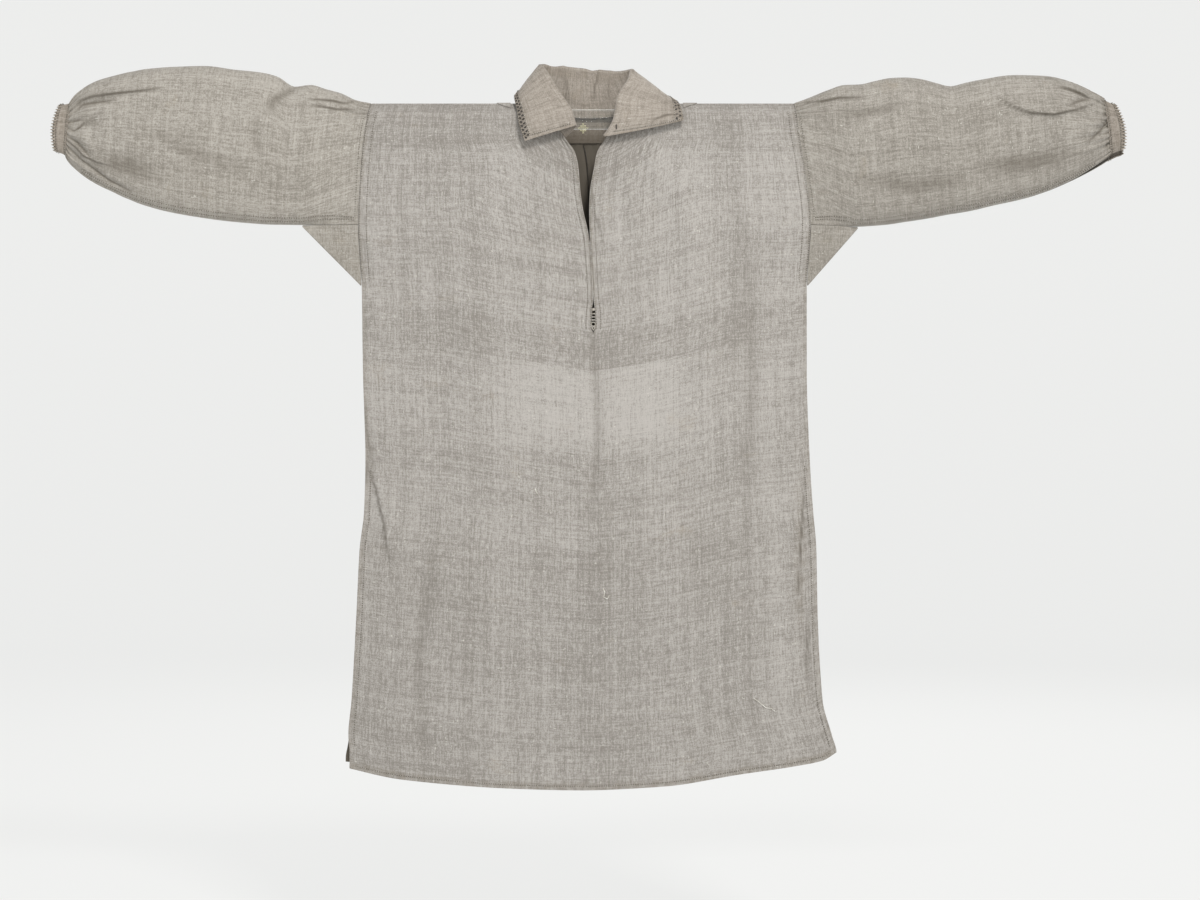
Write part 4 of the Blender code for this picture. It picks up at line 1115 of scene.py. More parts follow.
def make_back():
    """The back panel: from the seam before the ridge, over it and down, gathered along the neck."""
    seam_run = SEAM - SHOULDER_SEAM
    gathered = np.linspace(0, 1, BACK_GATHERS * POINTS_PER_GATHER + 1)
    places = mix(NECK_RIDGE["left"], NECK_RIDGE["right"], gathered)
    neck_x = smooth(NECK, "x", places)
    neck_run = np.maximum(smooth(NECK, "run", places), seam_run)
    shoulder = crowded(BACK_SHOULDER_COLUMNS, SHOULDER_LENGTH, both=False)
    ridge = np.full(len(shoulder), seam_run)
    top = np.concatenate((ridge, neck_run, ridge))
    even = crowded(len(top), 730)
    foot_x = mix(smooth(SIDES, "left", HEM_Z), smooth(SIDES, "right", HEM_Z), even)
    hem = run_at(smooth(HEM, "back", foot_x))
    # The ridge itself is the fourth row, so that the fold stays where it is pressed
    near_ridge = np.array((0, 1.5, 3.0, 4.55, 6.0, 7.6))
    lower = stepped((66, 1048, 148), (1048, BACK_LENGTH, 12))
    rows = np.concatenate((near_ridge, np.linspace(9.5, 60, 24), lower))[:, None] / BACK_LENGTH
    run = mix(top, hem, rows)
    z = hang(run)[1]
    left = smooth(SIDES, "left", z) - smooth(BACK_REACH, "left", z)
    right = smooth(SIDES, "right", z) + smooth(BACK_REACH, "right", z)
    count = len(shoulder)
    at_left = mix(left[:, :count], neck_x[0], shoulder)
    at_neck = np.broadcast_to(neck_x, (len(rows), len(neck_x)))
    at_right = mix(right[:, :count], neck_x[-1], shoulder)[:, ::-1]
    near = np.concatenate((at_left, at_neck, at_right), axis=1)
    below = run - top
    x = mix(near, mix(left, right, even), ease(0, SPREAD, below))
    x[:, 0] = left[:, 0]
    x[:, -1] = right[:, -1]
    base = body(x, run, 1)
    number = np.concatenate((np.zeros(count), gathered * BACK_GATHERS, np.zeros(count)))
    lift = gathers(number, BACK_GATHERS, 190, below, 21)[0] * ease(4, 14, np.maximum(top, 0))
    from_side = np.minimum(x - left, right - x)
    from_hem = hem - run
    # Painted shade along the creases
    crease, fold = creased(BACK_CREASES, x, z)
    lift = lift + crease * ease(0, 14, from_side) * ease(2, 12, from_hem) * ease(20, 34, -z)
    lift = lift + 0.9 * swell(x, z, 46, 5) * ease(30, 90, -z) * ease(0, 30, from_side)
    lift = lift + hems(z, from_side, from_hem)
    wear = np.clip(0.8 * edge_fade(from_hem, 16) + 0.5 * edge_fade(from_side, 9), 0, 1)
    uv = stack(PANEL_WIDTH * (right - x) / (right - left), rows * PANEL_LENGTH)
    cloth = Cloth("back_panel").add(base, lift, uv, wear, fold)
    # Heavy painted shade on the inner skin, seen through the neck and the slit
    return cloth.build(size("wall"), turned=True, inside=1.3)


def cuff_corner(side, name):
    row = next(row for row in CUFFS[side] if row.corner == name)
    return np.array((row.x, row.z), float)


def cuff_loop(side, share, along):
    """Outer face of a cuff: share 0 to 1 from its front end over the top to its back end."""
    gap, back_drop = CUFF_GAP[side], CUFF_BACK_DROP[side]
    top = mix(cuff_corner(side, "seam_top"), cuff_corner(side, "edge_top"), along)
    bottom = mix(cuff_corner(side, "seam_bottom"), cuff_corner(side, "edge_bottom"), along)
    turn = np.pi * (2 * share - 0.5)
    rise = (1 + np.sin(turn)) / 2
    x = mix(bottom[0], top[0], rise)
    outward = OUTWARD[side] * CUFF_BULGE * along * np.sin(np.pi * rise)
    front = share < 0.5
    drop = np.where(front, 0, back_drop) * (1 - rise)
    depth = gap + (CUFF_DEPTH - gap) * np.abs(np.cos(turn)) ** 0.8
    return stack(x + outward, np.where(front, -depth, depth), mix(bottom[1], top[1], rise) - drop)


SLEEVE_COLUMNS = 336
CUFF_GATHERS = 28
ARMHOLE_TOP = 0.42
SIDE_SHARE = 18 / 56


def armhole_share(cuff_share):
    """Share of the armhole's edge for a share of the sleeve's width: the top of the sleeve is gathered."""
    places = (0, SIDE_SHARE, 1 - SIDE_SHARE, 1)
    return np.interp(cuff_share, places, (0, ARMHOLE_TOP, 1 - ARMHOLE_TOP, 1))


def armhole_loop(side, share):
    """Edge of the armhole, from the gusset up the front, over the ridge and down the back."""
    run = (share - 0.5) * 2 * run_at(GUSSET_TOP)
    run = np.where(run == 0, 1e-9, run)
    x = smooth(SIDES, side, hang(run)[1])
    return np.where((run < 0)[..., None], body(x, run, -1), body(x, run, 1))


def sleeve_base(side, share, cuff_share):
    """Smooth surface of a sleeve over shares along the arm and round it."""
    table = SLEEVES[side]
    outward = OUTWARD[side]
    share = np.asarray(share, float)[:, None]
    armhole = armhole_loop(side, armhole_share(cuff_share))
    armhole[:, 0] += outward * SEAM
    cuff = cuff_loop(side, cuff_share, 0.0)
    cuff[:, 0] -= outward * SEAM
    top = smooth(table, "top", share)
    bottom = smooth(table, "bottom", share)
    depth = smooth(table, "depth", share)
    armhole_rise = (armhole[:, 2] - GUSSET_TOP) / (RIDGE - GUSSET_TOP)
    turn = np.pi * (2 * cuff_share - 0.5)
    round_rise = (1 + np.sin(turn)) / 2
    facing = np.where(cuff_share < 0.5, -1.0, 1.0)
    half_gap = SEAM / 2
    round_depth = half_gap + (depth - half_gap) * np.abs(np.cos(turn)) ** 0.85
    give_way = np.clip(share / GUSSET_SHARE[side], 0, 1)
    rise = mix(armhole_rise, round_rise, give_way)
    y = mix(armhole[:, 1], facing * round_depth, give_way)
    x = mix(armhole[:, 0], cuff[:, 0], share)
    base = stack(x, y, mix(bottom, top, rise))
    base = base + (cuff - base) * ease(0.80, 1.0, share)[..., None]
    base[-1] = np.where(share[-1] >= 1, cuff, base[-1])
    base[0] = np.where(share[0] <= 0, armhole, base[0])
    return base


def sleeve_lift(side, base, share, cuff_share):
    """Heights and painted fold shade of a sleeve: gathers at both ends, uneven in reach, creases and
    swelling.
    """
    share = np.asarray(share, float)[:, None]
    x, y, z = base[..., 0], base[..., 1], base[..., 2]
    chance = np.random.default_rng(31 if side == "left" else 32)
    number = cuff_share * CUFF_GATHERS
    index = np.floor(number).astype(int)
    reach = chance.uniform(0.06, 0.24, CUFF_GATHERS + 1)[index]
    strength = chance.uniform(0.55, 1.1, CUFF_GATHERS + 1)[index]
    ends = ease(0, 0.02, np.minimum(cuff_share, 1 - cuff_share))
    cuff_wave = strength * np.sin(np.pi * number) ** 2 * (1 - ease(0, 1, (1 - share) / reach)) * ends
    hole_reach = chance.uniform(0.06, 0.20, CUFF_GATHERS + 1)[index]
    at_top = 1 - ease(0.14, 0.20, np.abs(cuff_share - 0.5))
    hole_wave = np.sin(np.pi * number) ** 2 * (1 - ease(0, 1, share / hole_reach)) * at_top
    lift = size("gather") * (1.4 * cuff_wave + 1.2 * hole_wave)
    inside = ease(0, 0.05, share) * ease(0, 0.012, 1 - share)
    off_edge = ease(0.02, 0.06, np.minimum(cuff_share, 1 - cuff_share))
    creases = SLEEVE_CREASES[side]
    other = SLEEVE_CREASES["right" if side == "left" else "left"]
    in_front, front_shade = creased(creases, x, z)
    behind, back_shade = creased(other, -x, z)
    lift = lift + np.where(y < 0, in_front, 0.8 * behind) * inside * off_edge * ease(0, 6, np.abs(y))
    lift = lift + 1.5 * swell(x, z + 0.4 * np.sign(y) * 37, 38, 7) * inside * ease(0, 10, np.abs(y))
    # Painted shade in the troughs of the gathers at both ends, and along the creases
    valley = (1 - np.sin(np.pi * number) ** 2) ** 4 * ends * (1 - ease(0, 0.7, (1 - share) / reach))
    hole_valley = (1 - np.sin(np.pi * number) ** 2) ** 4 * at_top * (1 - ease(0, 0.6, share / hole_reach))
    fold = np.maximum(np.where(y < 0, front_shade, back_shade), np.maximum(0.9 * valley, 0.6 * hole_valley))
    return lift, fold


def make_sleeve(side):
    """One sleeve, with its rows close together at both seams."""
    share = stepped((0, 0.16, 26), (0.16, 0.78, 52), (0.78, 1, 44))
    cuff_share = np.linspace(0, 1, SLEEVE_COLUMNS + 1)
    base = sleeve_base(side, share, cuff_share)
    lift, fold = sleeve_lift(side, base, share, cuff_share)
    around = np.minimum(cuff_share, 1 - cuff_share)
    wear = 0.35 * edge_fade(around, 0.03) + 0.9 * ease(0.9, 1.0, share)[:, None]
    uv = stack(cuff_share * 0.50, share[:, None] * 0.48)
    uv = uv + np.array((0.0, 2.0 if side == "left" else 3.0))
    cloth = Cloth(f"sleeve_cloth_{side}").add(base, lift, uv, np.clip(wear, 0, 1), fold)
    return cloth.build(size("wall"), turned=side == "left", level_ends=True)


PICOT_PITCH = 4.8


def make_cuff(side):
    """A cuff with a row of needle-made picots along its edge: small teeth in the outline."""
    share = np.linspace(0, 1, 241)
    along = np.linspace(0, 1, 15)
    base = np.stack([cuff_loop(side, share, step) for step in along])
    length = run_along(base[-1])
    teeth = np.abs(np.sin(np.pi * length / PICOT_PITCH)) ** 1.5
    base[..., 0] += OUTWARD[side] * (2.6 * teeth - 1.6) * ease(0.80, 1.0, along)[:, None]
    ribs = np.sin(np.pi * length / 2.4) ** 2
    lift = 0.45 + 0.5 * ribs * (1 - ease(0.0, 0.6, along))[:, None]
    lift = lift + 0.5 * edge_fade(np.abs(along - 0.80)[:, None] * 20, 2.2)
    wear = 0.5 + 0.5 * ease(0.5, 1, along)[:, None]
    # Painted shade in the gaps between the picot teeth and between the ribs by the seam
    fold = 0.95 * (1 - teeth) * ease(0.78, 0.9, along)[:, None]
    fold = np.maximum(fold, 0.5 * (1 - ribs) * (1 - ease(0.1, 0.5, along))[:, None])
    uv = stack(share * 0.18, along[:, None] * 0.02)
    uv = uv + np.array((0.0, 4.0 if side == "left" else 5.0))
    cloth = Cloth(f"cuff_cloth_{side}").add(base, lift, uv, wear, fold)
    return cloth.build(size("wall") + 0.5, turned=side == "left", level_ends=True)


def make_gusset(side):
    """A square folded on its diagonal: A on the sleeve seam, B at the armhole, C on the side seam."""
    count = 22
    outward = OUTWARD[side]
    steps = np.linspace(0, 1, count + 1)
    at = GUSSET_SHARE[side] * (1 - steps)
    sleeve_edge = sleeve_base(side, at, np.array((0.0, 1.0)))[:, 0]
    z = mix(GUSSET_TOP, GUSSET_FOOT, steps)
    body_edge = body(smooth(SIDES, side, z), -run_at(z), -1)
    sleeve_edge = sleeve_edge + np.array((0, 0, -2 * SEAM))
    sleeve_edge[:, 1] = np.minimum(sleeve_edge[:, 1], -CLOTH_IN_CAD - SEAM / 2)
    body_edge = body_edge + np.array((outward * 2 * SEAM, 0, 0))
    corner = sleeve_edge[-1] * (0, 0, 1) + body_edge[0] * (1, 1, 0)
    a_point, c_point = sleeve_edge[0], body_edge[-1]
    sleeve_bow = sleeve_edge - mix(a_point, corner, steps[:, None])
    body_bow = body_edge - mix(corner, c_point, steps[:, None])
    sleeve_bow[-1] = 0
    body_bow[0] = 0
    across = np.linspace(-1, 1, 2 * count + 1)
    off_fold = np.abs(across)[None, :, None]
    # Rows start a little below A, where the folded corner is rounded
    high = np.maximum(steps, 0.012)[:, None, None]
    low = high * (1 - off_fold)
    bow = at_places(low[..., 0], steps, body_bow)
    outer = (1 - high) * a_point + high * off_fold * corner + low * c_point
    outer = outer + sleeve_bow[:, None] * off_fold + bow * high * off_fold / np.maximum(1 - low, 0.01)
    off_fold, high, low = off_fold[..., 0], high[..., 0], low[..., 0]
    middle = (1 - np.abs(2 * off_fold - 1)) * high
    half = np.abs(outer[..., 1]) + middle * (1 + 0.66 * np.sin(9 * high + 5 * off_fold))
    facing = np.sign(np.round(across, 6))
    fold_out = np.array((outward, 0, -1.0)) / math.sqrt(2)
    inner = outer.copy()
    outer[..., 1] = facing * half
    inner[..., 1] = facing * np.maximum(half - size("wall"), SEAM / 2)
    for column, share in ((count, 1.0), (count - 1, 0.55), (count + 1, 0.55)):
        outer[:, column] += fold_out * CLOTH_IN_CAD * share
    uv = stack(high * 0.1, low * 0.1).reshape(-1, 2) + 6.0
    faces = patch_faces(*outer.shape[:2])
    if side == "left":
        faces = faces[:, ::-1]
    total = outer.shape[0] * outer.shape[1]
    skin = np.concatenate((faces, faces[:, ::-1] + total, rim_faces(faces, total)))
    points = np.concatenate((outer.reshape(-1, 3), inner.reshape(-1, 3)))
    wear = np.full(2 * total, 0.25)
    return put_mesh(f"gusset_cloth_{side}", points, skin, np.tile(uv, (2, 1)), wear)


COLLAR_STATIONS = 220
STAND_STEPS = 18
TURN_STEPS = 9
FALL_STEPS = 40
FALL_LENGTH = 88
NECK_LENGTH = 420
COLLAR_WIDTH = 150
COLLAR_CLOTH = 1.6


def collar_frame(place):
    """Foot, fold and edge of the collar at places along the neck, and the way out from its stand."""
    neck_x, neck_run = smooth(NECK, "x", place), smooth(NECK, "run", place)
    foot = body(neck_x, np.where(neck_run == 0, 1e-9, neck_run), 1)
    inward = unit(-foot[:, :2] * (0.5, 1))
    foot[:, :2] += inward * (COLLAR_CLOTH / 2 + SEAM)
    foot[:, 2] += SEAM + 0.66
    fold = stack(*(smooth(COLLAR, f"fold_{axis}", place) for axis in "xyz"))
    edge = stack(*(smooth(COLLAR, f"edge_{axis}", place) for axis in "xyz"))
    return foot, fold, edge, unit(np.cross(np.gradient(fold, axis=0), foot - fold))


def collar_surface():
    """Middle of the collar's cloth: up the stand, round the fold on a half circle, and down the fall."""
    place = np.linspace(0, 1, COLLAR_STATIONS + 1)
    foot, fold, edge, out = collar_frame(place)
    stand_top = fold + unit(foot - fold) * FOLD_DROP - out * FOLD_HALF_GAP
    fall_top = fold + unit(edge - fold) * FOLD_DROP + out * FOLD_HALF_GAP
    rise = np.linspace(0, 1, STAND_STEPS, endpoint=False)[None, :, None]
    stand = mix(foot[:, None], stand_top[:, None], rise) - out[:, None] * 1.2 * np.sin(np.pi * rise)
    angle = np.linspace(0, np.pi, TURN_STEPS)[None, :, None]
    middle = (stand_top + fall_top)[:, None] / 2
    half = (fall_top - stand_top)[:, None] / 2
    crown = fold[:, None] - middle
    turn = middle - half * np.cos(angle) + crown * np.sin(angle)
    drop = np.linspace(0, 1, FALL_STEPS + 1)[1:][None, :, None]
    lay = mix(fall_top[:, None], edge[:, None], drop) + out[:, None] * 2.0 * np.sin(np.pi * drop)
    return place, np.concatenate((stand, turn, lay), axis=1)


def make_collar():
    """The collar, with its creases, its uneven crown and its worn edges."""
    place, middle = collar_surface()
    steps = middle.shape[1]
    across = np.linspace(0, 1, steps)[None, :]
    fall_share = np.clip((np.arange(steps) - STAND_STEPS - TURN_STEPS) / FALL_STEPS, 0, 1)[None, :]
    along = place[:, None]
    uneven = swell(along * NECK_LENGTH, across * COLLAR_WIDTH, 19, 13)
    lift = 0.8 + 0.7 * uneven * ease(0, 0.05, along) * ease(0, 0.05, 1 - along)
    from_crown = np.abs(np.arange(steps) - STAND_STEPS - TURN_STEPS / 2)[None, :]
    lift = lift + smooth(COLLAR_CROWN, "rise", along) * np.exp(-((from_crown / 5) ** 2))
    wing, wing_shade = creased(COLLAR_WING_CREASES, middle[..., 0], middle[..., 2])
    stand, stand_shade = creased(COLLAR_STAND_CREASES, middle[..., 0], middle[..., 2])
    on_wing = (fall_share > 0) & (middle[..., 1] < 0)
    on_stand = (fall_share == 0) & (middle[..., 1] > 0)
    lift = lift + np.where(on_wing, wing, 0) - np.where(on_stand, stand, 0)
    # Painted shade along the creases, and a little over the whole inner face of the stand
    fold = np.where(on_wing, wing_shade, 0) + np.where(on_stand, np.maximum(stand_shade, 0.2), 0)
    from_end = np.minimum(along, 1 - along) * NECK_LENGTH
    from_edge = (1 - fall_share) * FALL_LENGTH
    lift = lift + 0.45 * edge_fade(from_end, 5) + 0.4 * edge_fade(from_edge, 5)
    wear = np.clip(0.8 * edge_fade(from_end, 7) + 0.9 * edge_fade(from_edge, 10), 0, 1)
    stand_wear = edge_fade(np.abs(across - STAND_STEPS / steps) * COLLAR_WIDTH, 6)
    wear = np.clip(wear + 0.6 * stand_wear, 0, 1)
    uv = stack(along * 0.42, across * 0.152) + np.array((0.0, 7.0))
    return Cloth("collar_cloth").add(middle, lift, uv, wear, fold).build(COLLAR_CLOTH)


def make_lining():
    """The strip inside the back neck, with painted shade that deepens towards its foot."""
    x = np.linspace(-LINING_HALF_WIDTH, LINING_HALF_WIDTH, 63)
    z = np.linspace(LINING_TOP, LINING_FOOT, 19)[:, None]
    shape = (len(z), len(x))
    face = body(np.broadcast_to(x, shape), np.broadcast_to(run_at(z), shape), 1)
    face[..., 1] -= CLOTH_IN_CAD + SEAM
    uv = stack(x * MM, z * MM) + 9.0
    wear = 0.5 * edge_fade(z - LINING_FOOT, 4)
    fold = 0.40 + 0.65 * ease(0, LINING_TOP - LINING_FOOT, LINING_TOP - z)
    return Cloth("lining_cloth").add(face, 0.0, uv, wear, fold).build(LINING_CLOTH, turned=True)


def make_neck_gusset(side):
    """A small triangle over the shoulder ridge, from its point out on the shoulder to the collar."""
    along = np.linspace(0, 1, 13)[:, None]
    across = np.linspace(-1, 1, 25)
    x = NECK_GUSSET[side] + OUTWARD[side] * NECK_GUSSET_LENGTH * along
    run = across * NECK_GUSSET_HALF_WIDTH * (1 - 0.92 * along)
    base = body(np.broadcast_to(x, run.shape), np.where(run == 0, 1e-9, run), 1)
    edge = np.minimum(1 - np.abs(across), 1.0)
    lift = SEAM + 1.2 - 0.25 * (1 - edge_fade(edge * 13, 4))
    uv = stack(x * MM, run * MM) + 10.0
    cloth = Cloth(f"neck_gusset_cloth_{side}").add(base, lift, uv, np.full(run.shape, 0.4))
    return cloth.build(NECK_GUSSET_CLOTH, turned=side == "left")


def tube(route, radius, sides=6):
    """Points and faces of a round thread along a route, with its ends drawn to a point."""
    route = np.asarray(route, float)
    tangent = unit(np.gradient(route, axis=0))
    reference = np.where(np.abs(tangent[:, 1:2]) > 0.9, (1.0, 0.0, 0.0), (0.0, 1.0, 0.0))
    first = unit(np.cross(tangent, reference))
    second = np.cross(tangent, first)
    turn = np.arange(sides) * 2 * np.pi / sides
    taper = np.ones(len(route))
    taper[0] = taper[-1] = 0.45
    ring = first[:, None] * np.cos(turn)[:, None] + second[:, None] * np.sin(turn)[:, None]
    points = route[:, None] + ring * (radius * taper)[:, None, None]
    fan = np.array([(0, corner, corner + 1, corner + 2) for corner in range(1, sides - 2, 2)])
    end = fan[:, ::-1] + (len(route) - 1) * sides
    return points.reshape(-1, 3), np.concatenate((ring_faces(len(route), sides), fan, end))


def join_pieces(name, pieces, sharp=80):
    """One mesh from many threads or discs."""
    start = 0
    points, faces = [], []
    for piece_points, piece_faces in pieces:
        points.append(piece_points)
        faces.append(piece_faces + start)
        start += len(piece_points)
    return put_mesh(name, np.concatenate(points), np.concatenate(faces), sharp=sharp)


def stitches(routes, outward, pitch, start, length, radius, seed):
    """Short threads along routes that lie on the cloth, each bowed a little off it, one to a pitch."""
    chance = np.random.default_rng(seed)
    made = []
    share = np.linspace(0, 1, 3)
    for route, out in zip(routes, outward):
        place = run_along(route)
        number = max(int(place[-1] / pitch), 1)
        starts = (np.arange(number) + start + chance.uniform(-0.1, 0.1, number)) * pitch
        at = starts[:, None] + length * chance.uniform(0.8, 1.2, number)[:, None] * share
        off = at_places(at, place, np.broadcast_to(np.asarray(out, float), route.shape))
        bow = radius * (0.2 + 0.9 * np.sin(np.pi * share))
        points = at_places(at, place, route) + off * bow[None, :, None]
        made += [tube(one, radius, sides=4) for one in points]
    return made


def sew(name, seam, pitch, seed, gap=0.5):
    """One group of seams: the threads that show, and between them dark dashes of gap thickness, painted
    shade where the thread pulls the cloth in.
    """
    routes, outward = seam
    radius = size("thread") / 2
    threads = stitches(routes, outward, pitch, 0.1, size("stitch"), radius, seed)
    dress(join_pieces(f"{name}_stitches", threads), "thread")
    shade_dashes = stitches(routes, outward, pitch, 0.6, 0.45 * pitch, gap, seed + 1)
    dress(join_pieces(f"{name}_dimples", shade_dashes), "stitch_shade")


# The creases of each panel, the seed of its swelling, and the depth at which that starts
PANEL_RELIEF = {-1: (FRONT_CREASES, 3, 20), 1: (BACK_CREASES, 5, 30)}


def panel_line(facing, x, z, lift):
    """A route on the front (-1) or the back (1), a little off the cloth."""
    x, z = np.broadcast_arrays(np.asarray(x, float), np.asarray(z, float))
    creases, seed, start = PANEL_RELIEF[facing]
    base = body(x, facing * run_at(z), facing)
    near = ease(0, 14, np.minimum(x - smooth(SIDES, "left", z), smooth(SIDES, "right", z) - x))
    relief = creased(creases, x, z)[0] + 0.9 * swell(x, z, 46, seed) * ease(start, 90, -z)
    base[..., 1] += facing * (relief * near + lift)
    return base


def panel_sewing():
    """Stitch lines of the two panels: hems, vents, slit, and the fells beside the armholes."""
    routes, outward = [], []
    hem_x = np.linspace(-374, 388, 260)
    side_z = np.linspace(14, GUSSET_FOOT + 4, 120)
    vent_z = np.linspace(VENT_TOP - 2, -1004, 150)
    for facing, name in ((-1, "front"), (1, "back")):
        hem_z = smooth(HEM, name, hem_x) + 0.7 * size("hem")
        routes.append(panel_line(facing, hem_x, hem_z, 0.45))
        for side in ("left", "right"):
            vent_x = smooth(SIDES, side, vent_z) - OUTWARD[side] * 9.0
            routes.append(panel_line(facing, vent_x, vent_z, 0.35))
            for inset in (1.3, 12.5):
                side_x = smooth(SIDES, side, side_z) - OUTWARD[side] * inset
                routes.append(panel_line(facing, side_x, side_z, 0.35))
        outward += [(0, facing, 0)] * 7
    slit_z = np.linspace(-60, SLIT_FOOT + 6, 120)
    for side in ("left", "right"):
        for inset in (1.4, 8.4):
            slit_x = smooth(SLIT, side, slit_z) + OUTWARD[side] * inset
            routes.append(panel_line(-1, slit_x, slit_z, 0.75 if inset < 3 else 0.35))
            outward.append((0, -1, 0))
    return routes, outward


def fell_route(side, length, around, behind):
    """A route on a sleeve's outer face beside its lower seam, with its outward directions."""
    at = np.linspace(0.004, 0.08, 20)
    shares = 1 - at if behind else at
    base = sleeve_base(side, length, shares)
    lift, _ = sleeve_lift(side, base, length, shares)
    out = unit(np.cross(np.gradient(base, axis=0), np.gradient(base, axis=1)))
    out = out * np.sign(out[..., 1:2] * base[..., 1:2])
    face = base + out * (lift[..., None] + 0.3)
    index = (around - at[0]) / (at[1] - at[0])
    low = np.floor(index).astype(int)
    row = np.arange(len(length))
    return mix(face[row, low], face[row, low + 1], (index - low)[:, None]), out[row, low]


def sleeve_sewing(side):
    """Stitches round the armhole and along the underarm fell, on both faces."""
    share = np.array((0.0, 0.006, 0.012, 0.02))
    cuff_share = np.linspace(0.02, 0.98, 220)
    base = sleeve_base(side, share, cuff_share)
    routes, outward = [base[2]], [unit(base[2] * (0, 1, 0))]
    length = np.linspace(0.01, 0.9, 190)
    by_edge = np.clip(length / GUSSET_SHARE[side], 0, 1)
    for narrow, wide in ((0.012, 0.046), (0.018, 0.068)):
        for behind in (False, True):
            route, out = fell_route(side, length, mix(narrow, wide, by_edge), behind)
            routes.append(route)
            outward.append(out)
    return routes, outward


def cuff_sewing(side):
    """Three rows of stitches round a cuff, the last of them close to its picot edge."""
    share = np.linspace(0.01, 0.99, 200)
    routes, outward = [], []
    for along in (0.12, 0.72, 0.9):
        ring = cuff_loop(side, share, along)
        out = ring * (0, 1, 0)
        out[:, 2] = (ring[:, 2] + 15) * 0.25
        out = unit(out)
        routes.append(ring + out * 1.2)
        outward.append(out)
    return routes, outward


def make_picots(side):
    """Needle-made picots: a short thick loop on each tooth of the cuff's edge."""
    share = np.linspace(0, 1, 241)
    edge = cuff_loop(side, share, 1.0)
    length = run_along(edge)
    at = (np.arange(int(length[-1] / PICOT_PITCH)) + 0.5) * PICOT_PITCH
    place = np.interp(at, length, share)
    root = cuff_loop(side, place, 0.76)
    tip = cuff_loop(side, place, 1.0) + (OUTWARD[side] * 2.0, 0, 0)
    facing = np.sign(root[:, 1])
    tubes = []
    for start, end, way in zip(root, tip, facing):
        step = np.linspace(0, 1, 4)[:, None]
        route = mix(start, end, step) + np.array((0, way, 0)) * (1.0 + 0.4 * np.sin(np.pi * step))
        tubes.append(tube(route, 1.15))
    return join_pieces(f"cuff_picots_{side}", tubes)


HOLE_STEP = 3.3


def collar_sewing():
    """Openwork along the collar's long edge, crossed threads over its holes, and stitches at its ends."""
    _, middle = collar_surface()
    normal = unit(np.cross(np.gradient(middle, axis=0), np.gradient(middle, axis=1)))
    last = middle.shape[1] - 1
    face = middle + normal * 1.35

    def beside_edge(grid, distance):
        step = last - distance / FALL_LENGTH * FALL_STEPS
        low = int(math.floor(step))
        return mix(grid[:, low], grid[:, min(low + 1, last)], step - low)

    routes = [beside_edge(face, distance)[4:-4] for distance in (1.0, 12.0)]
    outward = [beside_edge(normal, distance)[4:-4] for distance in (1.0, 12.0)]
    for end in (4, -5):
        routes.append(face[end, STAND_STEPS + TURN_STEPS :])
        outward.append(normal[end, STAND_STEPS + TURN_STEPS :])

    length = run_along(face[:, -1])
    borders = [beside_edge(face + normal * 0.5, distance) for distance in (2.2, 11.4)]
    share = np.linspace(0, 1, 3)[:, None]
    bars, holes = [], []
    for number, start in enumerate(np.arange(4.0, length[-1] - 8, HOLE_STEP)):
        first, second = borders if number % 2 else borders[::-1]
        ends = at_places(start, length, first), at_places(start + HOLE_STEP, length, second)
        bars.append(tube(mix(*ends, share), 0.42, sides=4))
    for row, distance in enumerate((4.0, 8.6)):
        line = beside_edge(face, distance)
        at = np.arange(5.0 + row * HOLE_STEP, length[-1] - 4, 2 * HOLE_STEP)
        centre = at_places(at, length, line)
        way = unit(at_places(at + 1, length, line) - centre)
        holes.append((centre, way, at_places(at, length, beside_edge(normal, distance))))
    return (routes, outward), holes, bars


def hole_discs(name, holes, radius):
    """Small dark dished discs, painted shade where the openwork has its holes, eight-sided, a little off
    the cloth.
    """
    turn = np.arange(8) * np.pi / 4
    index = np.arange(8)
    after = (index + 1) % 8
    top = np.array(((0, 1, 2, 3), (0, 3, 4, 7), (4, 5, 6, 7)))
    disc = np.concatenate((stack(index + 8, after + 8, after, index), top, top[:, ::-1] + 8))
    discs = []
    for centre, way, out in holes:
        across = np.cross(out, way)
        ring = way[:, None] * np.cos(turn)[:, None] * 1.15 + across[:, None] * np.sin(turn)[:, None]
        rim = centre[:, None] + ring * radius + out[:, None] * 0.12
        foot = centre[:, None] + ring * radius * 0.7 - out[:, None] * 0.45
        discs += [(points, disc) for points in np.concatenate((rim, foot), axis=1)]
    return join_pieces(name, discs, sharp=30)


def make_lace():
    """Needle lace at the foot of the slit: bars that cross, a large ring and a pointed end."""
    tubes = []
    centre = 8.8

    def bar(x0, z0, x1, z1, radius=0.5, rise=0.0):
        share = np.linspace(0, 1, 7)
        x = mix(x0, x1, share)
        z = mix(z0, z1, share)
        point = panel_line(-1, x, z, -0.2)
        point[:, 1] -= rise * np.sin(np.pi * share)
        tubes.append(tube(point, radius))

    bar(centre - 2.6, -304.5, centre + 2.4, -303.0, 0.8)
    bar(centre - 2.8, -306.0, centre + 2.6, -305.0, 0.6)
    rungs = np.linspace(-308, -323, 7)
    for index, z in enumerate(rungs):
        lean = 2.4 if index % 2 else -2.4
        bar(centre - 3.0, z, centre + 3.0, z - lean, 0.46, 0.5)
    turn = np.linspace(0, 2 * np.pi, 25)
    ring_x = centre - 0.3 + 3.3 * np.cos(turn)
    ring_z = -328.4 + 3.2 * np.sin(turn)
    tubes.append(tube(panel_line(-1, ring_x, ring_z, 0.3), 0.6))
    bar(centre - 3.2, -331.5, centre, -338.5, 0.7)
    bar(centre + 3.2, -331.5, centre, -338.5, 0.7)
    bar(centre - 1.8, -333.6, centre + 2.2, -332.2, 0.5)
    return join_pieces("slit_needle_lace", tubes)


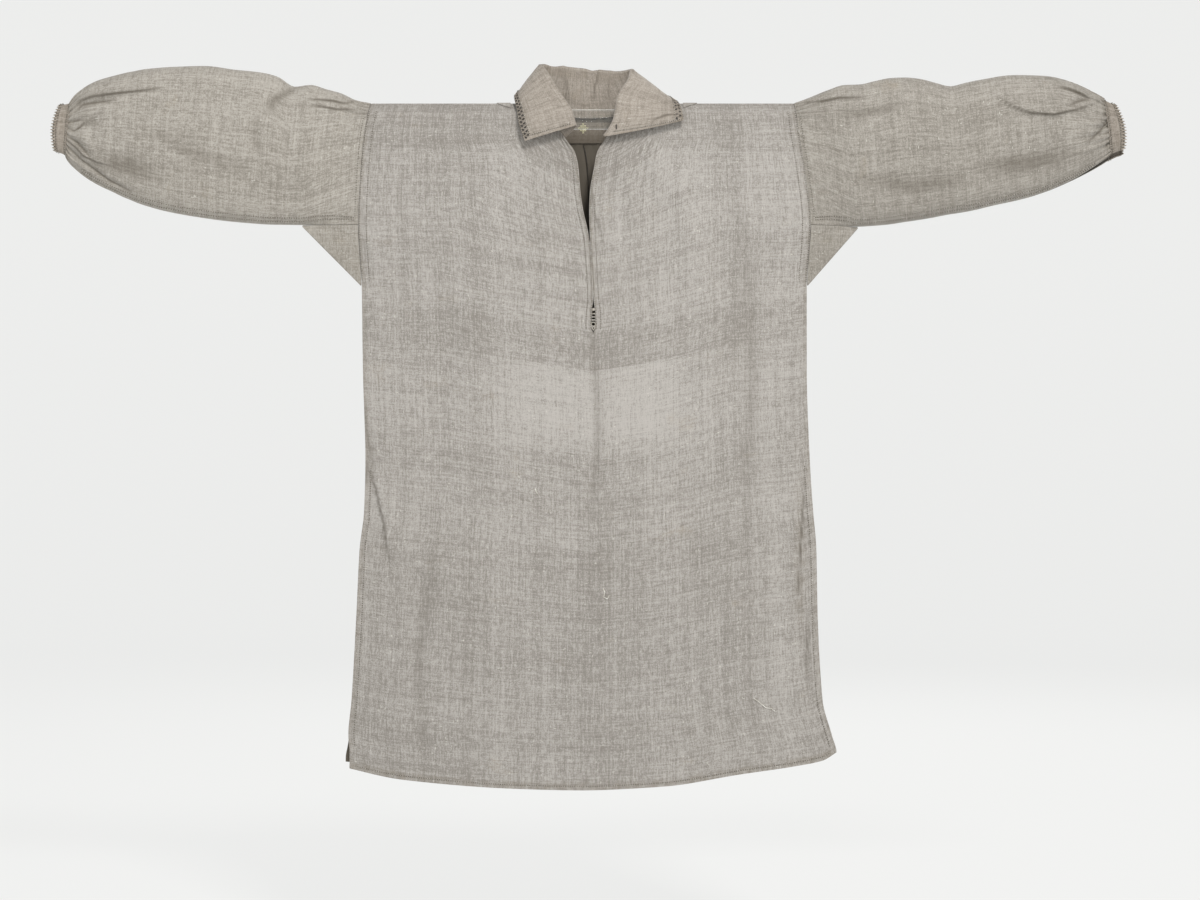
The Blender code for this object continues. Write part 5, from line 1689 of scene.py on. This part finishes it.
def make_slit_edges():
    """The rolled edges of the slit, painted paler than the cloth as their highlight, from the neckband
    down to the lace.
    """
    z = np.linspace(-42, -304, 90)
    tubes = []
    for side in ("left", "right"):
        route = panel_line(-1, smooth(SLIT, side, z) + OUTWARD[side] * 0.6, z, 0.1)
        tubes.append(tube(route, 0.75))
    return join_pieces("slit_edge_highlights", tubes)


def make_neck_shadows():
    """Dark tubes painted as shadow: the pleat's line inside the back neck, and the buttonhole in the
    collar's right wing.
    """
    z = np.linspace(-38, -150, 40)
    x = -8 + 9 * (1 - np.exp((z + 38) / 26))
    pleat = body(x, run_at(z), 1)
    pleat[:, 1] -= size("wall") + 0.35
    _, middle = collar_surface()
    wing = middle[-60:, STAND_STEPS + TURN_STEPS :].reshape(-1, 3)
    hole_z = np.linspace(-12, -20, 7)
    hole = np.array([wing[np.argmin(np.hypot(wing[:, 0] - 45, wing[:, 2] - at))] for at in hole_z])
    hole[:, 0], hole[:, 2] = 45.0, hole_z
    hole[:, 1] = hole[:, 1].min() - 1.75
    return join_pieces("neck_shadows", [tube(pleat, 0.65), tube(hole, 0.9)])


def make_loose_threads():
    """A few thread ends that have worked out of the cloth."""
    tubes = []
    ends = (
        ((263, -924), (272, -930), (284, -940), (292, -941), (299, -946)),
        ((24, -749), (27, -755), (25, -763), (31, -766), (34, -760)),
        ((-84, -590), (-82, -596), (-80, -598)),
    )
    for route in ends:
        key = np.array(route, float)
        x, z = at_places(np.linspace(0, len(key) - 1, 24), np.arange(len(key)), key).T
        tubes.append(tube(panel_line(-1, x, z, 0.7), 0.55))
    return join_pieces("loose_threads", tubes)


def make_mark():
    """A small plain cross-stitched motif inside the back neck: a diamond of crosses."""
    tubes = []
    for row in range(-2, 3):
        for place in range(-2 + abs(row), 3 - abs(row)):
            x = -8.0 + place * 3.4
            z = -12.0 + row * 3.4
            for lean in (-1, 1):
                share = np.linspace(-1, 1, 4)
                face = body(x + share * 1.5, run_at(z + lean * share * 1.5), 1)
                face[:, 1] -= CLOTH_IN_CAD + SEAM + LINING_CLOTH + 0.35
                tubes.append(tube(face, 0.75))
    return join_pieces("neck_mark", tubes)


ROD_SIDES = 96
ROD_SHARP = 35


def make_rod():
    """The rod: a turned profile with softened ends."""
    end = np.array(((0, 0.02), (0, ROD_RADIUS - 1.2), (0.35, ROD_RADIUS - 0.35), (1.2, ROD_RADIUS)))
    end[:, 0] -= ROD_HALF_LENGTH
    profile = np.concatenate((end, ((0, ROD_RADIUS),), end[::-1] * (-1, 1)))
    turn = np.arange(ROD_SIDES) * 2 * np.pi / ROD_SIDES
    points = stack(profile[:, :1], profile[:, 1:] * np.cos(turn), profile[:, 1:] * np.sin(turn))
    faces = ring_faces(len(profile), ROD_SIDES)[:, (0, 3, 2, 1)]
    piece = put_mesh("clear_rod", points.reshape(-1, 3), faces, sharp=ROD_SHARP)
    fill = bpy.data.meshes.new("clear_rod_filled")
    shape = bmesh.new()
    shape.from_mesh(piece.data)
    bmesh.ops.remove_doubles(shape, verts=shape.verts, dist=0.0001)
    bmesh.ops.recalc_face_normals(shape, faces=shape.faces)
    shape.to_mesh(fill)
    shape.free()
    fill.shade_smooth()
    fill.set_sharp_from_angle(angle=math.radians(ROD_SHARP))
    piece.data = fill
    return piece


class SHIRT_OT_panels(bpy.types.Operator):
    """Make the front and back panels of the shirt."""

    bl_idname = "shirt.panels"
    bl_label = "Front and Back"

    def execute(self, context):
        front = dress(make_front(), "body", "front")
        back = dress(make_back(), "body", "back")
        return {"FINISHED"}


class SHIRT_OT_sleeves(bpy.types.Operator):
    """Make both sleeves, gathered at the armhole and the cuff."""

    bl_idname = "shirt.sleeves"
    bl_label = "Sleeves"

    def execute(self, context):
        for side in ("left", "right"):
            finish = "sleeve_right" if side == "right" else "sleeve"
            sleeve = dress(make_sleeve(side), finish, f"sleeve_{side}")
            gusset = dress(make_gusset(side), finish, f"gusset_{side}")
        return {"FINISHED"}


class SHIRT_OT_collar(bpy.types.Operator):
    """Make the turned-down collar, the neck lining and the neck gussets."""

    bl_idname = "shirt.collar"
    bl_label = "Collar and Neck"

    def execute(self, context):
        collar = dress(make_collar(), "collar", "collar")
        lining = dress(make_lining(), "collar", "neck_lining")
        for side in ("left", "right"):
            gusset = dress(make_neck_gusset(side), "body", f"neck_gusset_{side}")
        dress(make_mark(), "mark")
        return {"FINISHED"}


class SHIRT_OT_cuffs(bpy.types.Operator):
    """Make both cuffs with their picot edges."""

    bl_idname = "shirt.cuffs"
    bl_label = "Cuffs"

    def execute(self, context):
        for side in ("left", "right"):
            finish = "cuff_right" if side == "right" else "cuff"
            cuff = dress(make_cuff(side), finish, f"cuff_{side}")
        return {"FINISHED"}


class SHIRT_OT_sewing(bpy.types.Operator):
    """Make the stitches, the openwork, the slit lace and the loose thread ends."""

    bl_idname = "shirt.sewing"
    bl_label = "Sewing"

    def execute(self, context):
        sew("panel", panel_sewing(), 3.6, 41, gap=0.62)
        for side in ("left", "right"):
            sew(f"sleeve_{side}", sleeve_sewing(side), 3.8, 51, gap=0.62)
            sew(f"cuff_{side}", cuff_sewing(side), 2.8, 61, gap=0.8)
            dress(make_picots(side), "picot")
        seam, holes, bars = collar_sewing()
        sew("collar", seam, 3.2, 71, gap=0.6)
        dress(hole_discs("collar_openwork", holes, 1.95), "dark")
        dress(join_pieces("openwork_threads", bars), "picot")
        dress(make_lace(), "thread", "slit_lace")
        dress(make_loose_threads(), "loose")
        dress(make_slit_edges(), "edge")
        dress(make_neck_shadows(), "dark")
        return {"FINISHED"}


class SHIRT_OT_rod(bpy.types.Operator):
    """Make the clear rod."""

    bl_idname = "shirt.rod"
    bl_label = "Rod"

    def execute(self, context):
        dress(make_rod(), "rod", "rod")
        return {"FINISHED"}


# The stage, in metres
FLOOR_Z = -1.33
FLOOR_RADIUS = 7.0
BEND_RADIUS = 2.0
RIM_HEIGHT = 5.5
FLOOR_SIDES = 64
CAMERA = (0.0192, -4.0, -0.5288)
VIEW_WIDTH = 1.92
SENSOR_WIDTH = 36.0
LIGHT_AIM = (0.0, 0.0, -0.45)
LIGHTS = table(
    "name place width energy colour",
    ("key_light", (1.3, -3.4, 3.3), 1.0, 170.0, (1.0, 0.985, 0.965)),
    ("fill_light", (-3.0, -3.0, 0.6), 2.6, 12.0, (0.96, 0.98, 1.0)),
    ("back_light", (0.6, 3.6, 1.8), 2.6, 60.0, (1.0, 0.99, 0.97)),
)


def make_floor():
    """A round floor whose rim curves up far behind the shirt."""
    bend = np.linspace(0.1, np.pi / 2, 12)
    flat = np.linspace(0.0005, FLOOR_RADIUS, 24)
    rim = FLOOR_RADIUS + BEND_RADIUS
    radius = np.concatenate((flat, FLOOR_RADIUS + BEND_RADIUS * np.sin(bend), (rim,)))[:, None]
    height = np.concatenate((0 * flat, BEND_RADIUS * (1 - np.cos(bend)), (RIM_HEIGHT,)))[:, None]
    turn = np.arange(FLOOR_SIDES) * 2 * np.pi / FLOOR_SIDES
    points = stack(radius * np.cos(turn), radius * np.sin(turn), height + FLOOR_Z)
    return put_mesh("pale_floor", points.reshape(-1, 3) / MM, ring_faces(len(radius), FLOOR_SIDES))


def area_light(name, place, aim, width, energy, colour):
    """A square soft light that looks from its place at the aim."""
    data = bpy.data.lights.new(name, "AREA")
    data.shape = "SQUARE"
    data.size = width
    data.energy = energy
    data.color = colour
    lamp = bpy.data.objects.new(name, data)
    lamp.location = place
    way = unit(np.array(place) - np.array(aim))
    lamp.rotation_euler = (math.acos(way[2]), 0.0, math.atan2(way[1], way[0]) + math.pi / 2)
    bpy.context.scene.collection.objects.link(lamp)
    return lamp


class SHIRT_OT_stage(bpy.types.Operator):
    """Make the pale floor and surround, the soft lights and the camera."""

    bl_idname = "shirt.stage"
    bl_label = "Stage"

    def execute(self, context):
        paper = context.scene.shirt_colours.paper
        floor = make_floor()
        finish = Finish("pale_paper")
        place = finish.node("ShaderNodeTexCoord", output="Object")
        tone = finish.noise(place, scale=0.6, detail=2)
        base = finish.mix(tone, shade(paper, 0.985), shade(paper, 1.0))
        finish.set_shader(Base_Color=base, Roughness=1.0, Specular_IOR_Level=0.0)
        finish.set_shader(Emission_Color=(0.985, 0.99, 0.98, 1.0), Emission_Strength=0.74)
        floor.data.materials.append(finish.material)

        world = bpy.data.worlds.new("pale_surround")
        world.use_nodes = True
        ground = world.node_tree.nodes["Background"]
        ground.inputs["Color"].default_value = (0.97, 0.985, 1.0, 1.0)
        ground.inputs["Strength"].default_value = 0.34
        context.scene.world = world
        for light in LIGHTS:
            area_light(light.name, light.place, LIGHT_AIM, light.width, light.energy, light.colour)

        # A low strip shows as one bright line along the rod
        strip = area_light("rod_strip", (0.0, -3.0, -1.25), (0.0, 0.0, 0.0), 1.0, 3.0, (1.0, 1.0, 1.0))
        strip.data.shape = "RECTANGLE"
        strip.data.size = 1.8
        strip.data.size_y = 0.06

        # The camera looks straight at the front, level with the middle of the shirt
        view = bpy.data.cameras.new("shirt_camera")
        view.sensor_width = SENSOR_WIDTH
        view.lens = SENSOR_WIDTH * -CAMERA[1] / VIEW_WIDTH
        camera = bpy.data.objects.new("shirt_camera", view)
        camera.location = CAMERA
        camera.rotation_euler = (math.pi / 2, 0.0, 0.0)
        context.scene.collection.objects.link(camera)
        context.scene.camera = camera
        context.scene.view_settings.view_transform = "Standard"
        return {"FINISHED"}


OPERATORS = (
    SHIRT_OT_stage,
    SHIRT_OT_rod,
    SHIRT_OT_panels,
    SHIRT_OT_sleeves,
    SHIRT_OT_cuffs,
    SHIRT_OT_collar,
    SHIRT_OT_sewing,
)


class SHIRT_PT_build(bpy.types.Panel):
    """Buttons and values of the shirt."""

    bl_label = "Linen Shirt"
    bl_space_type = "VIEW_3D"
    bl_region_type = "UI"
    bl_category = "Shirt"

    def draw(self, context):
        for operator in OPERATORS:
            self.layout.operator(operator.bl_idname)
        for group in (context.scene.shirt_sizes, context.scene.shirt_colours):
            for name in group.bl_rna.properties.keys():
                if name not in ("rna_type", "name"):
                    self.layout.prop(group, name)


CLASSES = (ShirtSizes, ShirtColours, *OPERATORS, SHIRT_PT_build)


def register():
    for cls in CLASSES:
        bpy.utils.register_class(cls)
    bpy.types.Scene.shirt_sizes = bpy.props.PointerProperty(type=ShirtSizes)
    bpy.types.Scene.shirt_colours = bpy.props.PointerProperty(type=ShirtColours)


def unregister():
    del bpy.types.Scene.shirt_sizes
    del bpy.types.Scene.shirt_colours
    for cls in reversed(CLASSES):
        bpy.utils.unregister_class(cls)


def main():
    register()
    bpy.ops.shirt.stage()
    bpy.ops.shirt.rod()
    bpy.ops.shirt.panels()
    bpy.ops.shirt.sleeves()
    bpy.ops.shirt.cuffs()
    bpy.ops.shirt.collar()
    bpy.ops.shirt.sewing()
    bpy.context.view_layer.update()


if __name__ == "__main__":
    main()
